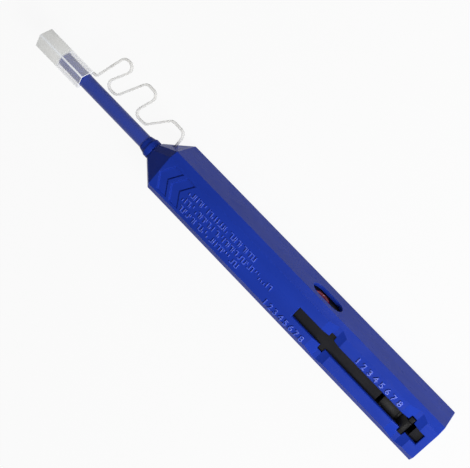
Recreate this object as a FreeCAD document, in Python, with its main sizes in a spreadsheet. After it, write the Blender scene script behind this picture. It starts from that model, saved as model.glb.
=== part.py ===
import FreeCAD, Part
import math
import os
import re
import Sketcher

# Fibre connector cleaning pen, millimetres.
#
# The pen lies on the flat back of its housing: +X runs along the pen towards the nozzle, +Z is the
# outward normal of the front face that holds the slot, and -Y is the side with the window.
# The origin is in the middle of the housing's back face. Every place along the pen in the sheet is
# measured from the housing's rear end, and every piece is seated by its Placement.
#
# The feature that takes the most skill is the click mechanism: pressing the nozzle into the pen
# drives a rack and pinion that winds the used thread, and a helical groove that turns the tip.

SIZES = {
    # housing
    "body_length": 137.0,
    "body_width": 18.6,
    "body_depth": 21.2,
    "edge_chamfer": 2.5,
    "wall": 1.5,
    "nose_wall": 1.5,
    "nozzle_inset": 8.8,
    "nose_length": 8.4,
    "neck_flats": 7.6,
    "plug_depth": 3.0,
    # slot, lock notches and thumb scoops in the front face
    "slot_width": 4.8,
    "slot_rear": 2.9,
    "slot_front": 65.2,
    "lock_rear": 9.7,
    "extend_travel": 40.0,
    "notch_length": 2.3,
    "notch_width": 8.4,
    "scoop_front_run": 4.7,
    "scoop_rear_run": 4.3,
    "scoop_depth": 1.0,
    # side window
    "window_lag": 1.6,
    "window_drop": 0.1,
    "window_length": 14.0,
    "window_width": 7.2,
    # arrow chevrons pressed into the front face
    "chevron_inset": 0.5,
    "chevron_pitch": 6.2,
    "chevron_stroke": 4.2,
    "chevron_sweep": 3.4,
    "chevron_half": 5.7,
    "chevron_depth": 0.4,
    # clearances
    "slide_gap": 0.2,
    "fit_gap": 0.05,
    "run_gap": 0.05,
    "notch_gap": 0.3,
    "latch_side_gap": 0.25,
    "reel_gap": 0.3,
    "flange_gap": 0.4,
    "ratchet_gap": 1.6,
    "pinion_gap": 0.8,
    # nose bush
    "bush_ring_rise": 0.65,
    "bush_ring_length": 2.8,
    "bush_lip_length": 2.0,
    "bush_wall": 0.35,
    # nozzle tube
    "tube_radius": 2.85,
    "tube_wall": 0.65,
    "nozzle_reach": 59.4,
    "tube_chamfer": 0.4,
    "flange_length": 2.0,
    "push_travel": 7.0,
    # carriage
    "carriage_front": 92.0,
    "carriage_skin": 1.2,
    "carriage_nose": 4.0,
    "cover_thickness": 1.0,
    "bulkhead_rear": 71.5,
    "bulkhead_length": 2.6,
    "bulkhead_drop": 3.4,
    "latch_nose": 2.4,
    "latch_tail": 2.9,
    "spring_shelf_inset": 8.8,
    "spring_shelf_thick": 1.2,
    "shelf_half": 4.0,
    "ear_length": 3.4,
    "ear_width": 1.2,
    # latch
    "latch_pivot": 21.2,
    "latch_pivot_inset": 3.1,
    "latch_pin_radius": 0.6,
    "latch_arm_thick": 1.9,
    "latch_arm_inset": 0.1,
    "latch_button_run": 5.0,
    "latch_hollow": 1.1,
    "latch_button_rise": 0.45,
    "latch_ridge": 1.7,
    "lug_height": 1.8,
    "latch_spring_radius": 1.5,
    "latch_spring_wire": 0.35,
    "latch_spring_turns": 4.0,
    "latch_spring_reach": 2.5,
    # reels
    "supply_place": 62.6,
    "takeup_place": 38.0,
    "reel_flange": 0.6,
    "reel_hub": 2.2,
    "supply_reel_width": 4.0,
    "boss_radius": 3.6,
    "boss_gap": 0.2,
    "boss_dish": 0.35,
    "axle_radius": 1.0,
    "supply_rim": 1.1,
    "takeup_rim": 2.0,
    # ratchet and pinion
    "ratchet_inset": 1.9,
    "ratchet_tooth": 0.6,
    "ratchet_length": 0.9,
    "ratchet_teeth": 12,
    "pinion_inset": 0.35,
    "gear_teeth": 12,
    "pinion_width": 2.8,
    "backlash": 0.16,
    "pawl_thick": 0.55,
    "rack_width": 2.3,
    "rack_inset": 0.2,
    "rack_body": 1.3,
    "rack_lead": 5.5,
    "rack_toothed": 20.0,
    "rack_foot": 1.8,
    "rail_gap": 0.2,
    # spindle and cleaning tip
    "spindle_radius": 1.2,
    "cam_radius": 1.75,
    "cam_rear": 71.4,
    "cam_length": 10.0,
    "groove_depth": 0.65,
    "groove_width": 0.9,
    "cam_pin_radius": 0.35,
    "cam_turn": 180.0,
    "spindle_recess": 1.8,
    "collar_length": 1.2,
    "front_bush_length": 6.0,
    "tip_radius": 0.95,
    "tip_length": 3.6,
    "tip_slot": 0.5,
    # return spring
    "return_spring_radius": 3.15,
    "return_spring_wire": 0.55,
    "return_spring_turns": 5.0,
    # cleaning thread
    "thread_radius": 0.12,
    "thread_offset": 1.97,
    "thread_slot": 0.24,
    # protective cap
    "cap_overlap": 12.1,
    "cap_length": 23.6,
    "cap_wall": 0.45,
    "cap_corner": 0.45,
    "cap_turn": 20.0,
    "cap_chamber": 2.1,
    "port_radius": 1.27,
    "port_length": 6.4,
    # tether strap
    "strap_drop": 1.8,
    "strap_width": 1.2,
    "strap_thick": 0.85,
    "strap_hole": 0.8,
    "strap_socket": 4.7,
    "strap_reach": 4.0,
}

# Sizes that follow from the ones above, each tied to the piece it fits.
DERIVED = {
    "nozzle_height": "body_depth - nozzle_inset",
    "window_centre": "supply_place - window_lag",
    "window_height": "nozzle_height - window_drop",
    "chevron_apex": "body_length - chevron_inset",
    "bush_shank": "tube_radius + run_gap + bush_wall",
    "bush_ring_radius": "bush_shank + bush_ring_rise",
    "tube_bore": "tube_radius - tube_wall",
    "tube_front": "body_length + nozzle_reach",
    "spindle_front": "tube_front - spindle_recess",
    "cap_rear": "tube_front - cap_overlap",
    "cap_flats": "2 * (tube_radius + run_gap + cap_wall)",
    "strap_height": "nozzle_height - strap_drop",
    "strap_nose": "body_length + strap_reach",
    "carriage_rear": "plug_depth + slide_gap",
    "bay_half_height": "nozzle_inset - wall - slide_gap - carriage_skin",
    "bay_half_width": "body_width / 2 - wall - slide_gap - carriage_skin",
    "cover_inner": "cover_thickness - body_width / 2 + wall + slide_gap",
    "bulkhead_foot": "nozzle_height - bulkhead_drop",
    "latch_width": "slot_width - 2 * latch_side_gap",
    "lug_width": "notch_width - 2 * latch_side_gap",
    "lug_length": "notch_length - 2 * notch_gap",
    "latch_button_front": "lock_rear + latch_button_run",
    "latch_bay_rear": "lock_rear - latch_tail",
    "latch_bay_front": "latch_pivot + latch_nose",
    "latch_pivot_height": "body_depth - latch_pivot_inset",
    "latch_spring_place": "lock_rear + latch_spring_reach",
    "spring_shelf_top": "body_depth - spring_shelf_inset",
    "reel_radius": "bay_half_height - reel_gap",
    "flange_radius": "bay_half_height - flange_gap",
    "supply_wound": "reel_radius - supply_rim",
    "takeup_wound": "reel_radius - takeup_rim",
    "ratchet_radius": "reel_radius - ratchet_inset",
    "gear_module": "(reel_radius - pinion_inset) / (gear_teeth / 2 + 1)",
    "reel_outer": "cover_inner + reel_gap",
    "reel_inner": "reel_outer + supply_reel_width",
    "pinion_outer": "bay_half_width - pinion_gap",
    "pinion_inner": "pinion_outer - pinion_width",
    "takeup_inner": "pinion_inner - ratchet_gap",
    "rack_outer": "pinion_outer - rack_inset",
    "rack_inner": "rack_outer - rack_width",
    "rack_rear": "takeup_place - rack_lead",
}

# Corners of the tether strap's zigzag, from the cap to the nose: each one's place ahead of the
# housing, its distance to the -Y side, and the radius of the moulded bend there.
STRAP_BENDS = [
    (45.3, 3.7, 0.8),
    (40.8, 17.3, 2.6),
    (34.0, 17.6, 2.6),
    (41.3, 3.9, 2.4),
    (34.4, 3.8, 2.6),
    (27.7, 16.4, 2.6),
    (20.8, 16.2, 2.5),
    (25.1, 4.0, 2.4),
    (18.4, 4.1, 2.6),
    (11.1, 13.3, 2.8),
    (4.2, 13.2, 2.6),
]

doc = FreeCAD.newDocument("connector_cleaning_pen")


def make_sheet():
    """Writes every driving dimension to its own aliased cell."""
    sheet = doc.addObject("Spreadsheet::Sheet", "Sizes")
    for row, (alias, size) in enumerate(SIZES.items(), 1):
        sheet.set(f"A{row}", alias)
        sheet.set(f"B{row}", str(size))
        sheet.setAlias(f"B{row}", alias)
    doc.recompute()
    return sheet


sheet = make_sheet()


def bind(text):
    """An expression in which each bare size name points at its cell."""
    def cell(match):
        name = match.group()
        if name in DERIVED:
            return f"({bind(DERIVED[name])})"
        return f"Sizes.{name}" if name in SIZES else name

    return re.sub(r"[a-z][a-z_]*", cell, text)


def value(text):
    """What an expression comes to, as a plain number."""
    found = sheet.evalExpression(bind(text))
    return float(getattr(found, "Value", found))


# Places and sizes that follow from the sheet.
REAR = "-body_length / 2"
HALF_WIDTH = "body_width / 2"
INNER_HALF = "(body_width / 2 - wall)"
CARRIAGE_HALF = "(body_width / 2 - wall - slide_gap)"
CARRIAGE_BOTTOM = "(wall + slide_gap)"
CARRIAGE_TOP = "(body_depth - wall - slide_gap)"
BAY_BOTTOM = "(wall + slide_gap + carriage_skin)"
BAY_TOP = "(body_depth - wall - slide_gap - carriage_skin)"
BAY_SIDE = "bay_half_width"
BAY_FRONT = "(carriage_front - carriage_nose)"
COVER_INNER = "cover_inner"
NECK_END = "(body_length + nose_length)"
FLANGE_FRONT = "(carriage_front - carriage_nose - run_gap)"
FLANGE_REAR = "(carriage_front - carriage_nose - run_gap - flange_length)"
BULKHEAD_FRONT = "(bulkhead_rear + bulkhead_length)"
RACK_PITCH_LINE = "(nozzle_height - gear_module * gear_teeth / 2)"
RACK_BOTTOM = "(nozzle_height - gear_module * gear_teeth / 2 - gear_module - rack_body)"
LATCH_TOP = "(body_depth - wall - slide_gap - latch_arm_inset)"
CAM_PIN_PLACE = "(bulkhead_rear + bulkhead_length / 2)"
CAP_FRONT = "(cap_rear + cap_length)"


def new_body(label, along="0", across="0", height="0", turn=None):
    """A body whose own origin stands at a place measured from the housing's rear end."""
    body = doc.addObject("PartDesign::Body", label)
    body.Label = label
    seat(body, along, across, height)
    if turn:
        body.Placement.Rotation = FreeCAD.Rotation(FreeCAD.Vector(1, 0, 0), 0)
        body.setExpression("Placement.Rotation.Axis.x", "1")
        body.setExpression("Placement.Rotation.Axis.z", "0")
        body.setExpression("Placement.Rotation.Angle", bind(turn))
    return body


def seat(piece, along="0", across="0", height="0"):
    """Binds a piece's place to the sheet."""
    piece.setExpression("Placement.Base.x", bind(f"{REAR} + {along}"))
    piece.setExpression("Placement.Base.y", bind(across))
    piece.setExpression("Placement.Base.z", bind(height))


def plane(body, role):
    """One of the body's own origin planes or axes."""
    return [item for item in body.Origin.OriginFeatures if item.Role == role][0]


def new_sketch(body, role, offset):
    """A sketch on one of the body's origin planes, moved along that plane's normal."""
    sketch = body.newObject("Sketcher::SketchObject", f"{body.Name}_sketch")
    sketch.AttachmentSupport = [(plane(body, role), "")]
    sketch.MapMode = "FlatFace"
    sketch.setExpression("AttachmentOffset.Base.z", bind(offset))
    return sketch


def hold_point(sketch, geometry, corner, across, up):
    """Dimensions one point of a sketch from the sketch's origin."""
    for kind, text in (("DistanceX", across), ("DistanceY", up)):
        number = sketch.addConstraint(Sketcher.Constraint(kind, -1, 1, geometry, corner, value(text)))
        sketch.setExpression(f"Constraints[{number}]", bind(text))


def outline_sketch(body, role, corners, offset="0"):
    """A closed outline of straight edges through the given corners."""
    sketch = new_sketch(body, role, offset)
    places = [FreeCAD.Vector(value(across), value(up), 0) for across, up in corners]
    count = len(places)
    edges = [Part.LineSegment(places[i], places[(i + 1) % count]) for i in range(count)]
    sketch.addGeometry(edges)
    joins = [Sketcher.Constraint("Coincident", i, 2, (i + 1) % count, 1) for i in range(count)]
    sketch.addConstraint(joins)
    for i, (across, up) in enumerate(corners):
        hold_point(sketch, i, 1, across, up)
    return sketch


def circle_sketch(body, role, centre, radius, offset="0"):
    """One circle, its centre and radius bound to the sheet."""
    sketch = new_sketch(body, role, offset)
    middle = FreeCAD.Vector(value(centre[0]), value(centre[1]), 0)
    sketch.addGeometry(Part.Circle(middle, FreeCAD.Vector(0, 0, 1), value(radius)))
    hold_point(sketch, 0, 3, centre[0], centre[1])
    number = sketch.addConstraint(Sketcher.Constraint("Radius", 0, value(radius)))
    sketch.setExpression(f"Constraints[{number}]", bind(radius))
    return sketch


def stadium_sketch(body, role, centre, length, width, offset="0"):
    """A slot outline with round ends, its long way across the sketch."""
    sketch = new_sketch(body, role, offset)
    left = f"{centre[0]} - ({length} - {width}) / 2"
    right = f"{centre[0]} + ({length} - {width}) / 2"
    radius = value(width) / 2
    low, high = value(centre[1]) - radius, value(centre[1]) + radius
    normal = FreeCAD.Vector(0, 0, 1)
    end_circles = [Part.Circle(FreeCAD.Vector(value(x), value(centre[1]), 0), normal, radius) for x in (right, left)]
    sketch.addGeometry(Part.LineSegment(FreeCAD.Vector(value(left), high, 0), FreeCAD.Vector(value(right), high, 0)))
    sketch.addGeometry(Part.ArcOfCircle(end_circles[0], -math.pi / 2, math.pi / 2))
    sketch.addGeometry(Part.LineSegment(FreeCAD.Vector(value(right), low, 0), FreeCAD.Vector(value(left), low, 0)))
    sketch.addGeometry(Part.ArcOfCircle(end_circles[1], math.pi / 2, 3 * math.pi / 2))
    for first, start, second, end in ((0, 2, 1, 2), (1, 1, 2, 1), (2, 2, 3, 2), (3, 1, 0, 1)):
        sketch.addConstraint(Sketcher.Constraint("Tangent", first, start, second, end))
    sketch.addConstraint(Sketcher.Constraint("Equal", 1, 3))
    hold_point(sketch, 1, 3, right, centre[1])
    hold_point(sketch, 3, 3, left, centre[1])
    number = sketch.addConstraint(Sketcher.Constraint("Radius", 1, radius))
    sketch.setExpression(f"Constraints[{number}]", bind(f"{width} / 2"))
    return sketch


def extrude(body, sketch, length, cut):
    """Pads a sketch along its plane's normal, or pockets it the same way."""
    before = body.Shape.Volume if body.Tip else 0.0
    feature = body.newObject("PartDesign::Pocket" if cut else "PartDesign::Pad", f"{body.Name}_form")
    feature.Profile = sketch
    feature.setExpression("Length", bind(length))
    feature.Reversed = cut
    sketch.Visibility = False
    doc.recompute()
    change = body.Shape.Volume - before
    if (change >= 0.0) if cut else (change <= 0.0):
        raise RuntimeError(f"{feature.Name} changes nothing: {change}")
    return feature


def span(role, low, high):
    """Where a sketch stands and how far it runs to fill low to high: XZ planes look along -Y."""
    start = f"-({high})" if role == "XZ_Plane" else low
    return start, f"{high} - ({low})"


def prism(body, role, corners, low, high, cut=False):
    """A straight-sided form from low to high along the axis that its plane faces."""
    start, length = span(role, low, high)
    return extrude(body, outline_sketch(body, role, corners, start), length, cut)


def disc(body, role, centre, radius, low, high, cut=False):
    """A round form from low to high along the axis that its plane faces."""
    start, length = span(role, low, high)
    return extrude(body, circle_sketch(body, role, centre, radius, start), length, cut)


def rectangle(left, right, low, high):
    """The corners of a rectangle."""
    return [(left, low), (right, low), (right, high), (left, high)]


def octagon(half, low, high, cut_corner):
    """A rectangle about the pen's middle plane with its four corners cut at 45 degrees."""
    return [
        (f"-({half}) + {cut_corner}", low),
        (f"{half} - {cut_corner}", low),
        (half, f"{low} + {cut_corner}"),
        (half, f"{high} - {cut_corner}"),
        (f"{half} - {cut_corner}", high),
        (f"-({half}) + {cut_corner}", high),
        (f"-({half})", f"{high} - {cut_corner}"),
        (f"-({half})", f"{low} + {cut_corner}"),
    ]


def turned(body, corners, axis="H_Axis", role="XZ_Plane", cut=False):
    """A turned form: the outline is spun about a sketch axis."""
    before = body.Shape.Volume if body.Tip else 0.0
    sketch = outline_sketch(body, role, corners)
    feature = body.newObject("PartDesign::Groove" if cut else "PartDesign::Revolution", f"{body.Name}_turning")
    feature.Profile = sketch
    feature.ReferenceAxis = (sketch, [axis])
    feature.Angle = 360.0
    sketch.Visibility = False
    doc.recompute()
    change = body.Shape.Volume - before
    if (change >= 0.0) if cut else (change <= 0.0):
        raise RuntimeError(f"{feature.Name} changes nothing: {change}")
    return feature


def repeat_along(body, features, length, count):
    """Repeats features towards the nose."""
    pattern = body.newObject("PartDesign::LinearPattern", f"{body.Name}_pattern")
    pattern.Originals = features
    pattern.Direction = (plane(body, "X_Axis"), [""])
    pattern.setExpression("Length", bind(length))
    pattern.Occurrences = count
    body.Tip = pattern
    doc.recompute()
    return pattern


# ---------------------------------------------------------------- housing


def make_housing():
    """The moulded sleeve: faceted nose, slot, lock notches, thumb scoops, window and chevrons."""
    body = new_body("housing_shell")
    prism(body, "YZ_Plane", octagon(HALF_WIDTH, "0", "body_depth", "edge_chamfer"), "0", "body_length")
    add_nose(body)
    inner_corner = "(edge_chamfer - wall * (2 - sqrt(2)))"
    cavity = octagon(INNER_HALF, "wall", "(body_depth - wall)", inner_corner)
    prism(body, "YZ_Plane", cavity, "0", "body_length - nose_wall", cut=True)
    disc(body, "YZ_Plane", ("0", "nozzle_height"), "bush_shank", "body_length - 2 * nose_wall",
         f"{NECK_END} + nose_wall", cut=True)
    slot = rectangle("slot_rear", "slot_front", "-slot_width / 2", "slot_width / 2")
    prism(body, "XY_Plane", slot, "body_depth - 2 * wall", "body_depth + wall", cut=True)
    add_lock_places(body)
    add_window(body)
    add_chevrons(body)
    socket = ("strap_nose", "strap_height")
    disc(body, "XZ_Plane", socket, "strap_hole", f"-({HALF_WIDTH})", "-strap_socket", cut=True)
    return body


def add_nose(body):
    """The faceted nose: the housing's section runs to a small regular octagon at the neck."""
    neck_corner = "(neck_flats * (1 - 1 / sqrt(2)))"
    neck = octagon("(neck_flats / 2)", "(nozzle_height - neck_flats / 2)", "(nozzle_height + neck_flats / 2)",
                   neck_corner)
    root = outline_sketch(body, "YZ_Plane", octagon(HALF_WIDTH, "0", "body_depth", "edge_chamfer"), "body_length")
    end = outline_sketch(body, "YZ_Plane", neck, NECK_END)
    nose = body.newObject("PartDesign::AdditiveLoft", "housing_nose")
    nose.Profile = root
    nose.Sections = [end]
    nose.Ruled = True
    root.Visibility = False
    end.Visibility = False
    doc.recompute()


def add_lock_places(body):
    """A cross notch in a shallow thumb scoop, at the stored and at the extended place."""
    notch = rectangle("lock_rear - notch_length / 2", "lock_rear + notch_length / 2", "-notch_width / 2",
                      "notch_width / 2")
    notch_cut = prism(body, "XY_Plane", notch, "body_depth - 2 * wall", "body_depth + wall", cut=True)
    valley = [
        ("lock_rear - scoop_rear_run", "body_depth"),
        ("lock_rear - scoop_rear_run * 0.82", "body_depth - scoop_depth * 0.3"),
        ("lock_rear - notch_length / 2", "body_depth - scoop_depth"),
        ("lock_rear + notch_length / 4", "body_depth - scoop_depth"),
        ("lock_rear + scoop_front_run", "body_depth"),
        ("lock_rear + scoop_front_run", "body_depth + wall"),
        ("lock_rear - scoop_rear_run", "body_depth + wall"),
    ]
    valley_cut = prism(body, "XZ_Plane", valley, f"-({HALF_WIDTH})", HALF_WIDTH, cut=True)
    repeat_along(body, [notch_cut, valley_cut], "extend_travel", 2)


def add_window(body):
    """The round-ended window in the -Y wall that shows the supply reel."""
    start, length = span("XZ_Plane", f"-({HALF_WIDTH}) - wall", f"-({INNER_HALF}) + wall / 2")
    sketch = stadium_sketch(body, "XZ_Plane", ("window_centre", "window_height"), "window_length", "window_width", start)
    extrude(body, sketch, length, cut=True)


def add_chevrons(body):
    """Two broad chevrons that point at the nozzle, pressed into the front face."""
    tail = "chevron_apex - chevron_sweep"
    chevron = [
        ("chevron_apex", "0"),
        (tail, "chevron_half"),
        (f"{tail} - chevron_stroke", "chevron_half"),
        ("chevron_apex - chevron_stroke", "0"),
        (f"{tail} - chevron_stroke", "-chevron_half"),
        (tail, "-chevron_half"),
    ]
    shifted = [(f"{x} - chevron_pitch", y) for x, y in chevron]
    first = prism(body, "XY_Plane", shifted, "body_depth - chevron_depth", "body_depth + wall", cut=True)
    repeat_along(body, [first], "chevron_pitch", 2)


def make_rear_plug():
    """The plug that closes the sleeve behind the carriage."""
    body = new_body("rear_plug")
    corner = "(edge_chamfer - (wall + fit_gap) * (2 - sqrt(2)))"
    section = octagon("(body_width / 2 - wall - fit_gap)", "(wall + fit_gap)", "(body_depth - wall - fit_gap)", corner)
    prism(body, "YZ_Plane", section, "0", "plug_depth - fit_gap")
    relief = rectangle("-slot_width / 2", "slot_width / 2", "wall + 2 * carriage_skin", "body_depth - 3 * wall")
    prism(body, "YZ_Plane", relief, "wall", "plug_depth + wall", cut=True)
    return body


def make_nose_bush():
    """The guide bush in the neck, with its ring and tapered lip around the nozzle tube."""
    body = new_body("nose_bush", NECK_END, "0", "nozzle_height")
    bore = "(tube_radius + run_gap)"
    shank_rear = "-(nose_length + nose_wall)"
    turned(body, [
        (shank_rear, bore),
        (shank_rear, "bush_shank"),
        ("0", "bush_shank"),
        ("0", "bush_ring_radius - 0.3"),
        ("0.3", "bush_ring_radius"),
        ("bush_ring_length - 0.5", "bush_ring_radius"),
        ("bush_ring_length", "bush_ring_radius - 0.35"),
        ("bush_ring_length + bush_lip_length", f"{bore} + 0.15"),
        ("bush_ring_length + bush_lip_length", bore),
    ])
    return body


def bend_path(corners):
    """Both sides of a flat strap: straight runs joined by tangent arcs, offset by half its thickness."""
    half = value("strap_thick") / 2
    sides = {half: [], -half: []}
    for side, edges in sides.items():
        last = None
        for i, (place, radius) in enumerate(corners):
            if radius is None:
                way = (corners[1][0] - place if i == 0 else place - corners[i - 1][0]).normalize()
                left = FreeCAD.Vector(-way.y, way.x, 0)
                point = place + left * side
                if last is not None:
                    edges.append(Part.LineSegment(last, point).toShape())
                last = point
                continue
            into = (place - corners[i - 1][0]).normalize()
            out = (corners[i + 1][0] - place).normalize()
            turn = math.atan2(into.cross(out).z, into.dot(out))
            reach = radius * math.tan(abs(turn) / 2)
            sign = math.copysign(1, turn)
            centre = place - into * reach + FreeCAD.Vector(-into.y, into.x, 0) * radius * sign
            bend = radius - side * sign
            start = centre - FreeCAD.Vector(-into.y, into.x, 0) * sign * bend
            end = centre - FreeCAD.Vector(-out.y, out.x, 0) * sign * bend
            middle = centre + (start + end - centre * 2).normalize() * bend
            edges.append(Part.LineSegment(last, start).toShape())
            edges.append(Part.Arc(start, middle, end).toShape())
            last = end
    return sides[half], sides[-half]


def make_tether_strap():
    """The moulded zigzag strap that ties the cap's mouth to the socket in the nose."""
    rear = value("body_length") / 2
    start = FreeCAD.Vector(value("cap_rear") - rear, -STRAP_BENDS[0][1], 0)
    end = FreeCAD.Vector(value("strap_nose") - rear, -value("strap_socket"), 0)
    corners = [(start, None)]
    corners += [(FreeCAD.Vector(ahead + rear, -across, 0), radius) for ahead, across, radius in STRAP_BENDS]
    corners[-1] = (FreeCAD.Vector(end.x, corners[-1][0].y, 0), corners[-1][1])
    corners.append((end, None))
    left, right = bend_path(corners)
    caps = [
        Part.LineSegment(left[-1].lastVertex().Point, right[-1].lastVertex().Point).toShape(),
        Part.LineSegment(right[0].firstVertex().Point, left[0].firstVertex().Point).toShape(),
    ]
    outline = Part.Wire(Part.__sortEdges__(left + right + caps))
    face = Part.Face(outline)
    strap = doc.addObject("Part::Feature", "tether_strap")
    strap.Label = "tether_strap"
    strap.Shape = face.extrude(FreeCAD.Vector(0, 0, value("strap_width")))
    strap.setExpression("Placement.Base.z", bind("strap_height - strap_width / 2"))
    print("tether strap length", round(face.Area / value("strap_thick"), 1))
    return strap


# ---------------------------------------------------------------- carriage


def make_carriage_frame():
    """The inner moulding that carries the reels, the mechanism and the nozzle."""
    body = new_body("carriage_frame")
    corner = "(edge_chamfer - (wall + slide_gap) * (2 - sqrt(2)))"
    section = octagon(CARRIAGE_HALF, CARRIAGE_BOTTOM, CARRIAGE_TOP, corner)
    prism(body, "YZ_Plane", section, "carriage_rear", "carriage_front")
    bay = rectangle("carriage_rear + carriage_skin", BAY_FRONT, BAY_BOTTOM, BAY_TOP)
    prism(body, "XZ_Plane", bay, f"-({CARRIAGE_HALF}) - wall", BAY_SIDE, cut=True)
    add_bulkhead(body)
    add_rail_and_shelf(body)
    add_latch_bay(body)
    nozzle_bore = ("0", "nozzle_height")
    disc(body, "YZ_Plane", nozzle_bore, "tube_radius + run_gap", f"{BAY_FRONT} - wall", "carriage_front + wall", cut=True)
    for place in ("supply_place", "takeup_place"):
        disc(body, "XZ_Plane", (place, "nozzle_height"), "axle_radius", f"{BAY_SIDE} - wall",
             f"{CARRIAGE_HALF} + wall", cut=True)
    return body


def add_bulkhead(body):
    """The wall that bears the spindle and seats the return spring and the cam pin."""
    wall_outline = rectangle(COVER_INNER, BAY_SIDE, "bulkhead_foot", BAY_TOP)
    prism(body, "YZ_Plane", wall_outline, "bulkhead_rear", BULKHEAD_FRONT)
    front = f"{BULKHEAD_FRONT} + wall"
    disc(body, "YZ_Plane", ("0", "nozzle_height"), "cam_radius + run_gap", "bulkhead_rear - wall", front, cut=True)
    for side in ("-", ""):
        centre = (f"{side}thread_offset", "nozzle_height")
        disc(body, "YZ_Plane", centre, "thread_slot", "bulkhead_rear - wall", front, cut=True)
    disc(body, "XY_Plane", (CAM_PIN_PLACE, "0"), "cam_pin_radius", "nozzle_height + cam_radius / 2",
         f"{CARRIAGE_TOP} + wall", cut=True)


def add_rail_and_shelf(body):
    """The rail under the rack and the shelf under the latch spring."""
    rail = rectangle("rack_inner", BAY_SIDE, BAY_BOTTOM, f"{RACK_BOTTOM} - rail_gap")
    prism(body, "YZ_Plane", rail, "rack_rear - push_travel", BAY_FRONT)
    shelf = rectangle(COVER_INNER, BAY_SIDE, "spring_shelf_top - spring_shelf_thick", "spring_shelf_top")
    prism(body, "YZ_Plane", shelf, "latch_spring_place - shelf_half", "latch_spring_place + shelf_half")


def add_latch_bay(body):
    """The opening over the latch, with two ears that hold its pivot pin."""
    ear_low = "(latch_pivot_height - latch_pin_radius - ear_width)"
    for side in ("", "-"):
        edges = (f"{side}(latch_width / 2 + slide_gap)", f"{side}(latch_width / 2 + slide_gap + ear_width)")
        left, right = edges if side == "" else edges[::-1]
        ear = rectangle(left, right, ear_low, f"{BAY_TOP} + carriage_skin / 2")
        prism(body, "YZ_Plane", ear, "latch_pivot - ear_length / 2", "latch_pivot + ear_length / 2")
    bay = rectangle("latch_bay_rear", "latch_bay_front", "-(latch_width / 2 + slide_gap)", "latch_width / 2 + slide_gap")
    prism(body, "XY_Plane", bay, f"{BAY_TOP} - wall", f"{CARRIAGE_TOP} + wall", cut=True)
    lug_bay = rectangle("lock_rear - lug_length", "lock_rear + lug_length", "-(notch_width / 2)", "notch_width / 2")
    prism(body, "XY_Plane", lug_bay, f"{BAY_TOP} - wall", f"{CARRIAGE_TOP} + wall", cut=True)
    reach = "(latch_width / 2 + slide_gap + ear_width + wall)"
    disc(body, "XZ_Plane", ("latch_pivot", "latch_pivot_height"), "latch_pin_radius", f"-{reach}", reach, cut=True)


def make_carriage_cover():
    """The snap-in side cover; the supply reel's boss shows through its round hole."""
    body = new_body("carriage_cover")
    plate = rectangle(f"carriage_rear + carriage_skin + fit_gap", f"{BAY_FRONT} - fit_gap",
                      f"{BAY_BOTTOM} + fit_gap", f"{BAY_TOP} - fit_gap")
    low, high = f"-({CARRIAGE_HALF})", COVER_INNER
    prism(body, "XZ_Plane", plate, low, high)
    disc(body, "XZ_Plane", ("supply_place", "nozzle_height"), "boss_radius + boss_gap", f"{low} - wall",
         f"{high} + wall", cut=True)
    disc(body, "XZ_Plane", ("takeup_place", "nozzle_height"), "axle_radius + fit_gap", f"{low} - wall",
         f"{high} + wall", cut=True)
    return body


def make_axle(label, place, outer_end):
    """A pin across the bay, pressed into the frame's side wall."""
    body = new_body(label, place, "0", "nozzle_height")
    disc(body, "XZ_Plane", ("0", "0"), "axle_radius", outer_end, CARRIAGE_HALF)
    return body


def make_latch_pin():
    """The pivot pin of the latch, held in the frame's two ears."""
    body = new_body("latch_pin", "latch_pivot", "0", "latch_pivot_height")
    reach = "(latch_width / 2 + slide_gap + ear_width)"
    disc(body, "XZ_Plane", ("0", "0"), "latch_pin_radius", f"-{reach}", reach)
    return body


def make_latch_lever():
    """The thumb latch: arm, ramped button with a ridge, and side lugs that sit in a cross notch."""
    body = new_body("latch_lever")
    low = f"({LATCH_TOP} - latch_arm_thick)"
    rear = "(lock_rear - lug_length / 2 - 0.3)"
    front = "(latch_bay_front - slide_gap - 0.9)"
    ramp_foot = "(latch_button_front - 1.1)"
    crest = f"({LATCH_TOP} + latch_ridge + latch_button_rise)"
    profile = [
        (rear, low),
        (front, low),
        (front, f"{LATCH_TOP} - 0.7"),
        (f"{front} - 0.5", LATCH_TOP),
        ("latch_button_front", LATCH_TOP),
        (f"{ramp_foot} + 0.8", f"{LATCH_TOP} - latch_hollow"),
        (ramp_foot, f"{LATCH_TOP} - latch_hollow"),
        ("lock_rear + lug_length / 2 + 0.35", f"{LATCH_TOP} + latch_ridge"),
        ("lock_rear + lug_length / 2 - 0.1", crest),
        ("lock_rear - lug_length / 2 + 0.15", crest),
        ("lock_rear - lug_length / 2", f"{crest} - 0.5"),
        (rear, f"{LATCH_TOP} - 0.3"),
    ]
    prism(body, "XZ_Plane", profile, "-latch_width / 2", "latch_width / 2")
    lug = rectangle("lock_rear - lug_length / 2", "lock_rear + lug_length / 2", f"{LATCH_TOP} - 0.4",
                    f"{LATCH_TOP} - 0.4 + lug_height")
    prism(body, "XZ_Plane", lug, "-lug_width / 2", "lug_width / 2")
    disc(body, "XZ_Plane", ("latch_pivot", "latch_pivot_height"), "latch_pin_radius + run_gap", "-latch_width",
         "latch_width", cut=True)
    return body


def coil_spring(label, along, across, height, role, radius, wire, length, turns, turned_to_x=False):
    """A round-wire compression spring wound about its body's own Z or X axis."""
    body = new_body(label, along, across, height)
    sketch = circle_sketch(body, role, (("0", radius) if turned_to_x else (radius, "0")), f"{wire} / 2")
    coil = body.newObject("PartDesign::AdditiveHelix", f"{label}_coil")
    coil.Profile = sketch
    coil.ReferenceAxis = (sketch, ["H_Axis" if turned_to_x else "V_Axis"])
    coil.Mode = 0
    coil.setExpression("Pitch", bind(f"({length}) / {turns}"))
    coil.setExpression("Height", bind(length))
    sketch.Visibility = False
    doc.recompute()
    return body


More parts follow.
